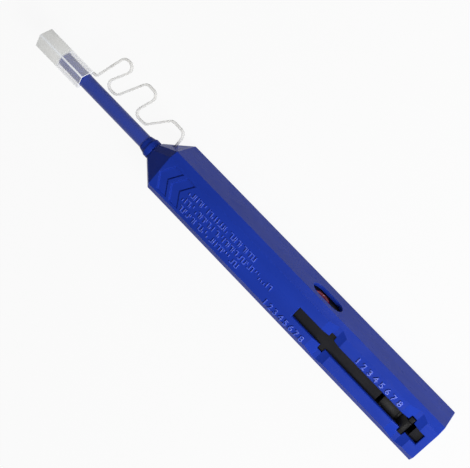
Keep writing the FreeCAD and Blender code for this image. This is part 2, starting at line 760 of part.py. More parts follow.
def make_latch_spring():
    """The small spring that lifts the latch back into its notch."""
    low = "(spring_shelf_top + latch_spring_wire / 2)"
    length = f"({LATCH_TOP} - latch_arm_thick - spring_shelf_top - latch_spring_wire - run_gap)"
    return coil_spring("latch_spring", "latch_spring_place", "0", low, "XZ_Plane", "latch_spring_radius",
                       "latch_spring_wire", length, "latch_spring_turns")


def make_return_spring():
    """The spring that pushes the nozzle out again after each click."""
    start = f"({BULKHEAD_FRONT} + return_spring_wire / 2)"
    length = f"({FLANGE_REAR} - {BULKHEAD_FRONT} - return_spring_wire - run_gap)"
    return coil_spring("return_spring", start, "0", "nozzle_height", "XZ_Plane", "return_spring_radius",
                       "return_spring_wire", length, "return_spring_turns", turned_to_x=True)


# ---------------------------------------------------------------- reels


def make_supply_reel():
    """The full reel; its dished boss shows in the housing window."""
    body = new_body("supply_reel", "supply_place", "0", "nozzle_height")
    bore = "(axle_radius + run_gap)"
    boss_end = f"(-({CARRIAGE_HALF}) + run_gap)"
    turned(body, [
        (bore, "reel_inner"),
        ("reel_radius", "reel_inner"),
        ("reel_radius", "reel_inner - reel_flange"),
        ("reel_hub", "reel_inner - reel_flange"),
        ("reel_hub", "reel_outer + reel_flange"),
        ("reel_radius", "reel_outer + reel_flange"),
        ("reel_radius", "reel_outer"),
        ("boss_radius", "reel_outer"),
        ("boss_radius", boss_end),
        ("boss_radius - 0.7", boss_end),
        ("boss_radius - 1.0", f"{boss_end} + boss_dish"),
        (bore, f"{boss_end} + boss_dish"),
    ], axis="V_Axis", role="XY_Plane")
    return body


def make_takeup_reel():
    """The reel that winds the used thread, with a ring of ratchet teeth beside it."""
    body = new_body("takeup_reel", "takeup_place", "0", "nozzle_height")
    bore = "(axle_radius + run_gap)"
    turned(body, [
        (bore, "takeup_inner + ratchet_length"),
        ("ratchet_radius - ratchet_tooth", "takeup_inner + ratchet_length"),
        ("ratchet_radius - ratchet_tooth", "takeup_inner"),
        ("reel_radius", "takeup_inner"),
        ("reel_radius", "takeup_inner - reel_flange"),
        ("reel_hub", "takeup_inner - reel_flange"),
        ("reel_hub", "reel_outer + reel_flange"),
        ("reel_radius", "reel_outer + reel_flange"),
        ("reel_radius", "reel_outer"),
        (bore, "reel_outer"),
    ], axis="V_Axis", role="XY_Plane")
    root = "(ratchet_radius - ratchet_tooth)"
    tooth = [
        ("-0.9", f"{root} - 0.5"),
        ("0.75", f"{root} - 0.5"),
        ("0.75", f"{root} - 0.05"),
        ("-0.35", "ratchet_radius"),
        ("-0.6", f"{root} - 0.05"),
    ]
    first = prism(body, "XZ_Plane", tooth, "takeup_inner - reel_flange / 2", "takeup_inner + ratchet_length")
    ring = body.newObject("PartDesign::PolarPattern", "ratchet_teeth")
    ring.Originals = [first]
    ring.Axis = (plane(body, "Y_Axis"), [""])
    ring.Angle = 360.0
    ring.setExpression("Occurrences", bind("ratchet_teeth"))
    body.Tip = ring
    doc.recompute()
    return body


def make_wound_thread(label, place, wound, inner):
    """The thread wound on a reel, as one crowned winding between the flanges."""
    body = new_body(label, place, "0", "nozzle_height")
    near, far = f"({inner} - reel_flange)", "(reel_outer + reel_flange)"
    turned(body, [
        ("reel_hub", near),
        (f"{wound} - 0.3", near),
        (wound, f"{near} - 0.5"),
        (wound, f"{far} + 0.5"),
        (f"{wound} - 0.3", far),
        ("reel_hub", far),
    ], axis="V_Axis", role="XY_Plane")
    return body


# ---------------------------------------------------------------- rack, pinion and pawl

PRESSURE_ANGLE = math.radians(25.0)


def involute_point(base, along):
    """A point of the involute of a circle, at a roll angle from its root."""
    x = base * (math.cos(along) + along * math.sin(along))
    y = base * (math.sin(along) - along * math.cos(along))
    return FreeCAD.Vector(x, y, 0)


def pinion_face():
    """The toothed outline: each flank is an arc through three points of its involute."""
    module, count = value("gear_module"), round(value("gear_teeth"))
    pitch = module * count / 2
    base = pitch * math.cos(PRESSURE_ANGLE)
    tip, root = pitch + 0.9 * module, pitch - module
    roll = lambda radius: math.sqrt(max((radius / base) ** 2 - 1.0, 0.0))
    start = max(base, root)
    flank = [involute_point(base, roll(radius)) for radius in (start, (start + tip) / 2, tip)]
    pitch_point = involute_point(base, roll(pitch))
    slack = value("backlash") / 2 / pitch
    half_tooth = math.pi / (2 * count) - slack + math.atan2(pitch_point.y, pitch_point.x)
    edges = []
    spin = lambda point, angle: FreeCAD.Rotation(FreeCAD.Vector(0, 0, 1), math.degrees(angle)).multVec(point)
    flip = lambda point: FreeCAD.Vector(point.x, -point.y, 0)
    last = first = None
    for i in range(count):
        # the tooth gap lies at the bottom, where the rack's first tooth meets it
        middle = -math.pi / 2 + (2 * i + 1) * math.pi / count
        rising = [spin(point, middle - half_tooth) for point in flank]
        falling = [spin(flip(point), middle + half_tooth) for point in reversed(flank)]
        foot_in = FreeCAD.Vector(rising[0]).normalize() * root
        foot_out = FreeCAD.Vector(falling[-1]).normalize() * root
        if last is None:
            first = foot_in
        else:
            edges.append(Part.LineSegment(last, foot_in).toShape())
        edges.append(Part.LineSegment(foot_in, rising[0]).toShape())
        edges.append(Part.Arc(*rising).toShape())
        edges.append(Part.LineSegment(rising[2], falling[0]).toShape())
        edges.append(Part.Arc(*falling).toShape())
        edges.append(Part.LineSegment(falling[2], foot_out).toShape())
        last = foot_out
    edges.append(Part.LineSegment(last, first).toShape())
    return Part.Face(Part.Wire(edges))


def make_pinion():
    """The pinion that the rack turns; it drives the take-up reel through the pawl."""
    inner, outer = value("pinion_inner"), value("pinion_outer")
    blank = pinion_face().extrude(FreeCAD.Vector(0, 0, outer - inner))
    bore = value("axle_radius") + value("run_gap")
    hub = Part.makeCylinder(value("reel_hub"), outer - inner + 0.5)
    hole = Part.makeCylinder(bore, 2 * outer, FreeCAD.Vector(0, 0, -outer / 2))
    gear = blank.fuse(hub).removeSplitter().cut(hole)
    pinion = doc.addObject("Part::Feature", "takeup_pinion")
    pinion.Label = "takeup_pinion"
    pinion.Shape = gear
    pinion.Placement.Rotation = FreeCAD.Rotation(FreeCAD.Vector(1, 0, 0), -90)
    seat(pinion, "takeup_place", "pinion_inner", "nozzle_height")
    return pinion


def make_pawl():
    """The leaf on the pinion that catches the ratchet teeth one way and slips the other."""
    body = new_body("drive_pawl", "takeup_place", "0", "nozzle_height")
    leaf = [
        ("-0.7", "ratchet_radius - ratchet_tooth + 0.1"),
        ("-1.4", "ratchet_radius - 0.2"),
        ("-2.6", "ratchet_radius - 0.75"),
        ("-3.4", "ratchet_radius - 1.4"),
        ("-3.8", "ratchet_radius - 1.4 + pawl_thick / 2"),
        ("-2.9", "ratchet_radius - 0.75 + pawl_thick * 0.75"),
        ("-1.5", "ratchet_radius - 0.2 + pawl_thick"),
        ("-0.7", "ratchet_radius - ratchet_tooth + 0.1 + pawl_thick * 0.8"),
    ]
    prism(body, "XZ_Plane", leaf, "takeup_inner + run_gap * 2", "pinion_inner")
    return body


def make_rack():
    """The rack on the nozzle's flange; pushed back seven millimetres it turns the pinion."""
    module = value("gear_module")
    pitch_line = value(RACK_PITCH_LINE)
    low = value(RACK_BOTTOM)
    rear, toothed = value("rack_rear"), value("rack_toothed")
    centre, foot_end = value("takeup_place"), value(FLANGE_REAR)
    pitch = math.pi * module
    root, tip = pitch_line - 0.95 * module, pitch_line + 0.75 * module
    half_at_pitch = pitch / 4 - value("backlash") / 2
    lean = math.tan(PRESSURE_ANGLE)
    half_root = half_at_pitch + (pitch_line - root) * lean
    half_tip = half_at_pitch - (tip - pitch_line) * lean
    points = [FreeCAD.Vector(rear, 0, low), FreeCAD.Vector(rear, 0, root)]
    first = math.ceil((rear + half_root - centre) / pitch)
    last = math.floor((rear + toothed - half_root - centre) / pitch)
    for number in range(first, last + 1):
        middle = centre + number * pitch
        points.append(FreeCAD.Vector(middle - half_root, 0, root))
        points.append(FreeCAD.Vector(middle - half_tip, 0, tip))
        points.append(FreeCAD.Vector(middle + half_tip, 0, tip))
        points.append(FreeCAD.Vector(middle + half_root, 0, root))
    foot = value("rack_foot")
    points.append(FreeCAD.Vector(foot_end - foot, 0, root))
    points.append(FreeCAD.Vector(foot_end - foot, 0, value("nozzle_height")))
    points.append(FreeCAD.Vector(foot_end, 0, value("nozzle_height")))
    points.append(FreeCAD.Vector(foot_end, 0, low))
    points.append(points[0])
    face = Part.Face(Part.makePolygon(points))
    inner, outer = value("rack_inner"), value("rack_outer")
    bar = face.extrude(FreeCAD.Vector(0, outer - inner, 0)).translated(FreeCAD.Vector(0, inner, 0))
    spring_side = value("return_spring_radius") + value("return_spring_wire") / 2 + value("slide_gap")
    clear = Part.makeCylinder(spring_side, 3 * foot, FreeCAD.Vector(foot_end - 2 * foot, 0, value("nozzle_height")),
                              FreeCAD.Vector(1, 0, 0))
    rack = doc.addObject("Part::Feature", "feed_rack")
    rack.Label = "feed_rack"
    rack.Shape = bar.cut(clear)
    seat(rack)
    return rack


# ---------------------------------------------------------------- nozzle, spindle and tip


def make_nozzle_tube():
    """The round nozzle tube with the flange that the return spring bears on."""
    body = new_body("nozzle_tube", "0", "0", "nozzle_height")
    turned(body, [
        (FLANGE_REAR, "tube_bore"),
        (FLANGE_REAR, "flange_radius"),
        (FLANGE_FRONT, "flange_radius"),
        (FLANGE_FRONT, "tube_radius"),
        ("tube_front - tube_chamfer", "tube_radius"),
        ("tube_front", "tube_radius - tube_chamfer"),
        ("tube_front", "tube_bore"),
    ])
    return body


def make_front_bush():
    """The bearing in the tube's mouth, with two grooves that let the thread through."""
    body = new_body("front_bush", "0", "0", "nozzle_height")
    rear, front = "(tube_front - front_bush_length)", "(tube_front - tube_chamfer)"
    turned(body, [
        (rear, "spindle_radius + run_gap"),
        (rear, "tube_bore"),
        (front, "tube_bore"),
        (front, "spindle_radius + run_gap"),
    ])
    for side in ("-", ""):
        centre = (f"{side}thread_offset", "0")
        disc(body, "YZ_Plane", centre, "thread_slot", f"{rear} - wall", f"{front} + wall", cut=True)
    return body


def make_spindle():
    """The spindle: a bearing journal at the tip end and a cam barrel with a helical groove."""
    body = new_body("spindle", "0", "0", "nozzle_height")
    cam_front = "(cam_rear + cam_length)"
    collar = "(tube_front - front_bush_length - run_gap)"
    turned(body, [
        ("cam_rear", "0"),
        ("cam_rear", "cam_radius - 0.2"),
        ("cam_rear + 0.2", "cam_radius"),
        (cam_front, "cam_radius"),
        (f"{cam_front} + 0.6", "spindle_radius"),
        (f"{collar} - collar_length", "spindle_radius"),
        (f"{collar} - collar_length", "cam_radius"),
        (collar, "cam_radius"),
        (collar, "spindle_radius"),
        ("spindle_front", "spindle_radius"),
        ("spindle_front", "0"),
    ])
    add_cam_groove(body)
    return body


def add_cam_groove(body):
    """The helical groove, as wide across as the cutter, with the cutter's round ends."""
    floor = "(cam_radius - groove_depth)"
    lead = "(push_travel * 360 / cam_turn)"
    half = f"(groove_width / 2 * sqrt(1 + ({lead} / (2 * pi * {floor})) ^ 2))"
    groove = rectangle(f"{CAM_PIN_PLACE} - {half}", f"{CAM_PIN_PLACE} + {half}", floor, "cam_radius + groove_depth")
    sketch = outline_sketch(body, "XZ_Plane", groove)
    helix = body.newObject("PartDesign::SubtractiveHelix", "cam_groove")
    helix.Profile = sketch
    helix.ReferenceAxis = (sketch, ["H_Axis"])
    helix.Mode = 0
    helix.setExpression("Pitch", bind(lead))
    helix.setExpression("Height", bind("push_travel"))
    sketch.Visibility = False
    doc.recompute()
    for place, turn in ((CAM_PIN_PLACE, "0"), (f"{CAM_PIN_PLACE} + push_travel", "cam_turn")):
        end = circle_sketch(body, "XY_Plane", (place, "0"), "groove_width / 2")
        end.AttachmentOffset.Rotation = FreeCAD.Rotation(FreeCAD.Vector(1, 0, 0), 0)
        end.setExpression("AttachmentOffset.Rotation.Axis.x", "1")
        end.setExpression("AttachmentOffset.Rotation.Axis.z", "0")
        end.setExpression("AttachmentOffset.Rotation.Angle", bind(turn))
        end.setExpression("AttachmentOffset.Base.y", bind(f"-{floor} * sin({turn})"))
        end.setExpression("AttachmentOffset.Base.z", bind(f"{floor} * cos({turn})"))
        extrude(body, end, "cam_radius", cut=True)


def make_cam_pin():
    """The fixed pin in the bulkhead whose end rides in the spindle's groove."""
    body = new_body("cam_pin", CAM_PIN_PLACE, "0", "0")
    disc(body, "XY_Plane", ("0", "0"), "cam_pin_radius", "nozzle_height + cam_radius - groove_depth + 0.1", BAY_TOP)
    return body


def make_tip():
    """The cleaning tip, with a slot across its face that keeps the thread centred."""
    body = new_body("cleaning_tip", "spindle_front", "0", "nozzle_height")
    turned(body, [
        ("0", "0"),
        ("0", "tip_radius"),
        ("tip_length - 0.25", "tip_radius"),
        ("tip_length", "tip_radius - 0.25"),
        ("tip_length", "0"),
    ])
    groove = rectangle("-tip_radius * 2", "tip_radius * 2", "-tip_slot / 2", "tip_slot / 2")
    prism(body, "YZ_Plane", groove, "tip_length - 0.3", "tip_length + 1", cut=True)
    return body


def tangent_point(centre, radius, outside, side):
    """Where a line from an outside point leaves a winding: side 1 is its upper side, -1 its lower."""
    away = math.atan2(outside[1] - centre[1], outside[0] - centre[0])
    open_angle = math.acos(radius / math.dist(centre, outside))
    angle = away + side * open_angle
    return centre[0] + radius * math.cos(angle), centre[1] + radius * math.sin(angle)


def make_cleaning_thread():
    """The thread in use: reel to nozzle, along the tube, round the tip and back to the other reel."""
    axis = value("nozzle_height")
    reach, bulkhead = value("thread_offset"), value("bulkhead_rear")
    radius = value("thread_radius")
    supply, takeup = value("supply_place"), value("takeup_place")
    supply_middle = (value("reel_inner") + value("reel_outer")) / 2
    takeup_middle = (value("takeup_inner") + value("reel_outer")) / 2 + 1.5
    gap = radius + 0.03
    entry = (bulkhead - 1.0, axis)
    guide = (supply + 1.5, axis - 2.0)
    supply_touch = tangent_point((supply, axis), value("supply_wound") + gap, entry, 1)
    takeup_touch = tangent_point((takeup, axis), value("takeup_wound") + gap, guide, -1)
    mouth, face = value("tube_front"), value("spindle_front") + value("tip_length")
    beside = value("tip_radius") + radius + 0.03
    route = [
        (supply_touch[0], supply_middle, supply_touch[1]),
        (entry[0], -reach, entry[1]),
        (mouth - 0.4, -reach, axis),
        (mouth + 0.5, -beside, axis),
        (face - 0.3, -beside, axis),
        (face - 0.15 + radius, -value("tip_radius") * 0.6, axis),
        (face - 0.15 + radius, value("tip_radius") * 0.6, axis),
        (face - 0.3, beside, axis),
        (mouth + 0.5, beside, axis),
        (mouth - 0.4, reach, axis),
        (entry[0], reach, entry[1]),
        (guide[0], reach + 0.6, guide[1]),
        (takeup_touch[0], takeup_middle, takeup_touch[1]),
    ]
    points = [FreeCAD.Vector(*place) for place in route]
    strand = None
    for start, end in zip(points, points[1:]):
        way = end - start
        piece = Part.makeCylinder(radius, way.Length, start, way)
        strand = piece if strand is None else strand.fuse(piece)
    for place in points[1:-1]:
        strand = strand.fuse(Part.makeSphere(radius, place))
    thread = doc.addObject("Part::Feature", "cleaning_thread")
    thread.Label = "cleaning_thread"
    thread.Shape = strand
    seat(thread)
    return thread


# ---------------------------------------------------------------- cap


def make_end_cap():
    """The square guide cap: a socket for the nozzle behind, a ferrule port in front."""
    body = new_body("end_cap", "0", "0", "nozzle_height", turn="cap_turn + 45")
    half, corner = "(cap_flats / 2)", "cap_corner"
    section = octagon(half, f"-{half}", half, corner)
    prism(body, "YZ_Plane", section, "cap_rear", CAP_FRONT)
    socket_end = "(tube_front + run_gap)"
    centre = ("0", "0")
    bore = "(tube_radius + run_gap)"
    socket = octagon(bore, f"-{bore}", bore, "(cap_corner - cap_wall * (2 - sqrt(2)))")
    prism(body, "YZ_Plane", socket, "cap_rear - wall", socket_end, cut=True)
    disc(body, "YZ_Plane", centre, "cap_chamber", f"{socket_end} - wall", f"{CAP_FRONT} - port_length", cut=True)
    disc(body, "YZ_Plane", centre, "port_radius", f"{CAP_FRONT} - port_length - wall", f"{CAP_FRONT} + wall", cut=True)
    return body


# ---------------------------------------------------------------- the pen

pieces = [
    make_housing(),
    make_rear_plug(),
    make_nose_bush(),
    make_tether_strap(),
    make_carriage_frame(),
    make_carriage_cover(),
    make_axle("supply_axle", "supply_place", "reel_outer + 1"),
    make_axle("takeup_axle", "takeup_place", f"-({CARRIAGE_HALF})"),
    make_latch_pin(),
    make_latch_lever(),
    make_latch_spring(),
    make_return_spring(),
    make_supply_reel(),
    make_wound_thread("supply_thread", "supply_place", "supply_wound", "reel_inner"),
    make_takeup_reel(),
    make_wound_thread("takeup_thread", "takeup_place", "takeup_wound", "takeup_inner"),
    make_pinion(),
    make_pawl(),
    make_rack(),
    make_nozzle_tube(),
    make_front_bush(),
    make_spindle(),
    make_cam_pin(),
    make_tip(),
    make_cleaning_thread(),
    make_end_cap(),
]
doc.recompute()

for item in doc.Objects:
    if "Invalid" in item.State or "Error" in item.State:
        raise RuntimeError(f"{item.Label} has failed: {item.State}")
for piece in pieces:
    if piece.Shape.isNull() or not piece.Shape.isValid():
        raise RuntimeError(f"{piece.Label} has no valid shape")
    if len(piece.Shape.Solids) != 1:
        raise RuntimeError(f"{piece.Label} has {len(piece.Shape.Solids)} solids")

os.makedirs("parts", exist_ok=True)
for piece in pieces:
    piece.Shape.exportStep(f"parts/{piece.Label}.step")
    box = piece.Shape.BoundBox
    print(f"{piece.Label:16s} {piece.Shape.Volume:9.1f}  x {box.XMin:7.2f} {box.XMax:7.2f}"
          f"  y {box.YMin:6.2f} {box.YMax:6.2f}  z {box.ZMin:6.2f} {box.ZMax:6.2f}")
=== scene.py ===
"""Dresses the connector cleaning pen: moulded sleeve, thumb latch, nozzle, guide cap and tether."""

import logging
import math
import random
from dataclasses import dataclass
from enum import Enum
from typing import Iterable, Sequence

import bpy
from mathutils import Matrix, Vector


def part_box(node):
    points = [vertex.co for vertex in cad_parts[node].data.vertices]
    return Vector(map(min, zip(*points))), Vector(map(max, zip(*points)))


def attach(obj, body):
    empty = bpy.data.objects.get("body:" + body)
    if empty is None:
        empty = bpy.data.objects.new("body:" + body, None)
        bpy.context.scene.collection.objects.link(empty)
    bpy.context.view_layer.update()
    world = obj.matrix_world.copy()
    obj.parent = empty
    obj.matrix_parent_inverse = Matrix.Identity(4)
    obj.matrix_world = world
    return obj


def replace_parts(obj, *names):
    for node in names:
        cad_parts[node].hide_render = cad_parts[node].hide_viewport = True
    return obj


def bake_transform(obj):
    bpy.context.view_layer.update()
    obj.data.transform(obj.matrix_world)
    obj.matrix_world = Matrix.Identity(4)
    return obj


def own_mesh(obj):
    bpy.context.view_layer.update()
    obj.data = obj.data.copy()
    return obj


LOG = logging.getLogger("cleaning_pen")
MM = 0.001

Colour = tuple[float, float, float]
Place = tuple[float, float, float]
Span = tuple[float, float]
Socket = bpy.types.NodeSocket

WELD = 0.004 * MM  # corners nearer than this are one corner
FLAT = 0.4  # triangles within this angle, in degrees, are one face
WHOLE: Span = (0.0, 1.0)
FINE_NOISE: Span = (0.3, 0.7)  # where most of a fine pattern's values lie
BROAD_NOISE: Span = (0.32, 0.68)  # where most of a broad pattern's values lie
ALONG_PEN = (0.5, 1.0, 1.0)  # draws a pattern out to twice its length along the pen
PLAIN, SOFT, FULL, CRISP = 1.0, 2.0, 3.0, 4.0  # octaves of detail in a noise pattern

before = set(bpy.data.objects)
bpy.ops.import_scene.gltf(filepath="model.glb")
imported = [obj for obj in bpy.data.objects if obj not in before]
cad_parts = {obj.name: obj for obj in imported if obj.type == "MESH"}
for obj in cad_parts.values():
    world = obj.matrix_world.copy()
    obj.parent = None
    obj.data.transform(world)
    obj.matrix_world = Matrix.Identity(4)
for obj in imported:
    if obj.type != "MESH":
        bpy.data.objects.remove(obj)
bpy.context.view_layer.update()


class Slot(Enum):
    """The record's material slots, which the replacements name but nothing reads."""

    HOUSING = "housing_blue"
    LATCH = "latch_black"
    CAP = "cap_clear"
    STRAP = "strap_clear"
    REEL = "reel_red"
    SPRING = "spring_steel"


class Body(Enum):
    """The rigid bodies that pieces ride on."""

    ROOT = "root"
    CARRIAGE = "carriage"
    LATCH = "latch"
    NOZZLE = "nozzle"
    CAP = "cap"
    SUPPLY = "supply"


# ---------------------------------------------------------------- modelling helpers


def clear_selection() -> None:
    """Leaves object mode with nothing selected."""
    if bpy.context.mode != "OBJECT":
        bpy.ops.object.mode_set(mode="OBJECT")
    bpy.ops.object.select_all(action="DESELECT")


def make_active(piece: bpy.types.Object) -> None:
    """Selects one object alone and makes it the active one."""
    clear_selection()
    piece.select_set(True)
    bpy.context.view_layer.objects.active = piece


def name_piece(name: str) -> bpy.types.Object:
    """Names the active object and its mesh.

    Args:
        name: The new name.

    Returns:
        The object.
    """
    piece = bpy.context.view_layer.objects.active
    piece.name = name
    piece.data.name = name
    return piece


def settle(piece: bpy.types.Object) -> None:
    """Puts an object's place, turn and size into its mesh."""
    make_active(piece)
    bpy.ops.object.transform_apply(location=True, rotation=True, scale=True)


def finish_modifier(piece: bpy.types.Object, kind: str, **settings: object) -> None:
    """Adds a modifier and applies it.

    Args:
        piece: The object to work on.
        kind: Blender's name for the modifier.
        **settings: The modifier's own settings.
    """
    make_active(piece)
    modifier = piece.modifiers.new(kind.title(), kind)
    for key, setting in settings.items():
        setattr(modifier, key, setting)
    bpy.ops.object.modifier_apply(modifier=modifier.name)


def smooth_by_angle(piece: bpy.types.Object, degrees: float) -> None:
    """Shades a piece smooth except over edges sharper than an angle."""
    make_active(piece)
    bpy.ops.object.shade_smooth_by_angle(angle=math.radians(degrees))


def merged_copy(node: str, name: str) -> bpy.types.Object:
    """A copy of a CAD node with its triangles joined into whole faces.

    Args:
        node: The CAD node.
        name: The copy's name.

    Returns:
        The copy, which has its own mesh.
    """
    piece = own_copy(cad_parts[node], name)
    make_active(piece)
    bpy.ops.object.mode_set(mode="EDIT")
    bpy.ops.mesh.select_all(action="SELECT")
    bpy.ops.mesh.remove_doubles(threshold=WELD)
    bpy.ops.mesh.customdata_custom_splitnormals_clear()
    bpy.ops.mesh.dissolve_limited(angle_limit=math.radians(FLAT))
    bpy.ops.object.mode_set(mode="OBJECT")
    return piece


def own_copy(piece: bpy.types.Object, name: str) -> bpy.types.Object:
    """A copy of an object at the origin, with its own mesh."""
    copy = bpy.data.objects.new(name, piece.data.copy())
    copy.data.name = name
    bpy.context.scene.collection.objects.link(copy)
    return copy


def round_edges(piece: bpy.types.Object, width: float, angle: float) -> None:
    """Rounds a piece's edges in two steps, as a mould does.

    Args:
        piece: The piece.
        width: The rounding's width in metres.
        angle: The smallest edge angle that is rounded, in degrees.
    """
    finish_modifier(
        piece, "BEVEL", width=width, segments=2, limit_method="ANGLE",
        angle_limit=math.radians(angle), use_clamp_overlap=False, harden_normals=False,
    )


def join_pieces(pieces: Sequence[bpy.types.Object], name: str) -> bpy.types.Object:
    """Joins objects into one.

    Args:
        pieces: The objects.
        name: The joined object's name.

    Returns:
        The joined object.
    """
    clear_selection()
    for piece in pieces:
        piece.select_set(True)
    bpy.context.view_layer.objects.active = pieces[0]
    bpy.ops.object.join()
    return name_piece(name)


# ---------------------------------------------------------------- finishes


def larger(tree: bpy.types.NodeTree, first: Socket, second: Socket) -> Socket:
    """The larger of two values in a node tree."""
    node = tree.nodes.new("ShaderNodeMath")
    node.operation = "MAXIMUM"
    tree.links.new(first, node.inputs[0])
    tree.links.new(second, node.inputs[1])
    return node.outputs["Value"]


def seen_rays(tree: bpy.types.NodeTree) -> Socket:
    """1 on rays from the camera, a mirror or a clear piece, 0 on rays that only carry light.

    Args:
        tree: The node tree that gets the nodes.

    Returns:
        The value.
    """
    rays = tree.nodes.new("ShaderNodeLightPath")
    seen = rays.outputs["Is Camera Ray"]
    for other in ("Is Glossy Ray", "Is Transmission Ray"):
        seen = larger(tree, seen, rays.outputs[other])
    return seen


def shade(colour: Colour, factor: float) -> Colour:
    """A colour made darker or lighter."""
    return tuple(min(1.0, part * factor) for part in colour)


class Recipe:
    """A node material under construction, in Object coordinates."""

    def __init__(self, name: str) -> None:
        """Starts an empty material with a Principled shader and an output."""
        self.material = bpy.data.materials.new(name)
        self.material.use_nodes = True
        self.tree = self.material.node_tree
        self.tree.nodes.clear()
        self.output = self.tree.nodes.new("ShaderNodeOutputMaterial")
        self.shader = self.tree.nodes.new("ShaderNodeBsdfPrincipled")
        self.join(self.shader.outputs["BSDF"], self.output.inputs["Surface"])
        self.place = self.tree.nodes.new("ShaderNodeTexCoord").outputs["Object"]

    def uniform(self, **settings: float) -> None:
        """Sets values that are the same all over on the shader's own sockets."""
        for key, setting in settings.items():
            self.shader.inputs[key.replace("_", " ")].default_value = setting

    def join(self, source: Socket, target: Socket) -> None:
        """Links two sockets."""
        self.tree.links.new(source, target)

    def noise(self, size: float, detail: float, stretch: Sequence[float] | None = None) -> Socket:
        """A noise pattern.

        Args:
            size: The size of its largest features in metres.
            detail: Its octaves.
            stretch: A scale along each axis, where the pattern is drawn out.

        Returns:
            The pattern's value, about 0.5.
        """
        node = self.tree.nodes.new("ShaderNodeTexNoise")
        node.inputs["Scale"].default_value = 1 / size
        node.inputs["Detail"].default_value = detail
        place = self.place
        if stretch:
            mapping = self.tree.nodes.new("ShaderNodeMapping")
            mapping.inputs["Scale"].default_value = stretch
            self.join(place, mapping.inputs["Vector"])
            place = mapping.outputs["Vector"]
        self.join(place, node.inputs["Vector"])
        return node.outputs["Fac"]

    def spread(self, source: Socket, span: Span, low: float, high: float) -> Socket:
        """Maps a value's range onto another one.

        Args:
            source: The value.
            span: The bottom and top of its range.
            low: What the bottom becomes.
            high: What the top becomes.

        Returns:
            The mapped value.
        """
        node = self.tree.nodes.new("ShaderNodeMapRange")
        numbers = zip(("From Min", "From Max", "To Min", "To Max"), (*span, low, high))
        for key, number in numbers:
            node.inputs[key].default_value = number
        self.join(source, node.inputs["Value"])
        return node.outputs["Result"]

    def blend(self, share: Socket, first: Colour, second: Colour) -> Socket:
        """A colour between two, by a share.

        Args:
            share: 0 gives the first colour, 1 the second.
            first: A colour.
            second: A colour.

        Returns:
            The mixed colour.
        """
        node = self.tree.nodes.new("ShaderNodeMix")
        node.data_type = "RGBA"
        self.join(share, node.inputs["Factor"])
        node.inputs["A"].default_value = (*first, 1.0)
        node.inputs["B"].default_value = (*second, 1.0)
        return node.outputs["Result"]

    def mottled(self, share: Socket, colour: Colour, variation: float) -> Socket:
        """A colour that is darker where a share is 0 and lighter where it is 1.

        Args:
            share: The pattern.
            colour: The middle colour.
            variation: How far it goes either way, as a part of the colour.

        Returns:
            The varied colour.
        """
        return self.blend(share, shade(colour, 1 - variation), shade(colour, 1 + variation))

    def bump(self, height: Socket, depth: float, below: Socket | None = None) -> Socket:
        """Turns a height pattern into a surface relief.

        Args:
            height: The pattern.
            depth: Its depth in metres.
            below: A coarser relief that it lies on.

        Returns:
            The relief's normal.
        """
        node = self.tree.nodes.new("ShaderNodeBump")
        node.inputs["Distance"].default_value = depth
        node.inputs["Strength"].default_value = 1.0
        self.join(height, node.inputs["Height"])
        if below:
            self.join(below, node.inputs["Normal"])
        return node.outputs["Normal"]

    def surface(self, colour: Socket, roughness: Socket, normal: Socket) -> None:
        """Links a colour, a roughness and a relief to the shader."""
        self.join(colour, self.shader.inputs["Base Color"])
        self.join(roughness, self.shader.inputs["Roughness"])
        self.join(normal, self.shader.inputs["Normal"])


@dataclass(frozen=True)
class MouldedPlastic:
    """Injection-moulded plastic: eroded grain, slow flow marks and handling gloss.

    Attributes:
        name: The material's name.
        colour: Its middle colour.
        roughness: Its middle roughness.
        grain: The size of the mould's eroded grain.
        grain_depth: The grain's depth.
        clouds: The size of the colour's flow marks.
        warp: The size of the faces' slow waves.
        warp_depth: The waves' depth.
        rubbed: The size of the patches that handling has polished.
        polish: How much smoother those patches are.
        scuff: How much rougher the places between them are.
        variation: How far the colour varies either way.
        specular: The strength of its mirror layer.
        flow: How the plastic's flow draws its patterns out along the pen.
    """

    name: str
    colour: Colour
    roughness: float = 0.36
    grain: float = 0.45 * MM
    grain_depth: float = 0.012 * MM
    clouds: float = 9 * MM
    warp: float = 14 * MM
    warp_depth: float = 0.03 * MM
    rubbed: float = 3 * MM
    polish: float = 0.05
    scuff: float = 0.07
    variation: float = 0.08
    specular: float = 0.5
    flow: Sequence[float] = (0.25, 1.0, 1.0)

    def material(self) -> bpy.types.Material:
        """Builds the node material.

        Returns:
            The material.
        """
        recipe = Recipe(self.name)
        clouds = recipe.spread(recipe.noise(self.clouds, FULL, self.flow), BROAD_NOISE, *WHOLE)
        colour = recipe.mottled(clouds, self.colour, self.variation)
        rubbed = recipe.noise(self.rubbed, CRISP, ALONG_PEN)
        smooth, rough = self.roughness - self.polish, self.roughness + self.scuff
        roughness = recipe.spread(rubbed, FINE_NOISE, smooth, rough)
        warp = recipe.bump(recipe.noise(self.warp, PLAIN, self.flow), self.warp_depth)
        grain = recipe.bump(recipe.noise(self.grain, FULL), self.grain_depth, warp)
        recipe.surface(colour, roughness, grain)
        recipe.uniform(Specular_IOR_Level=self.specular)
        return recipe.material


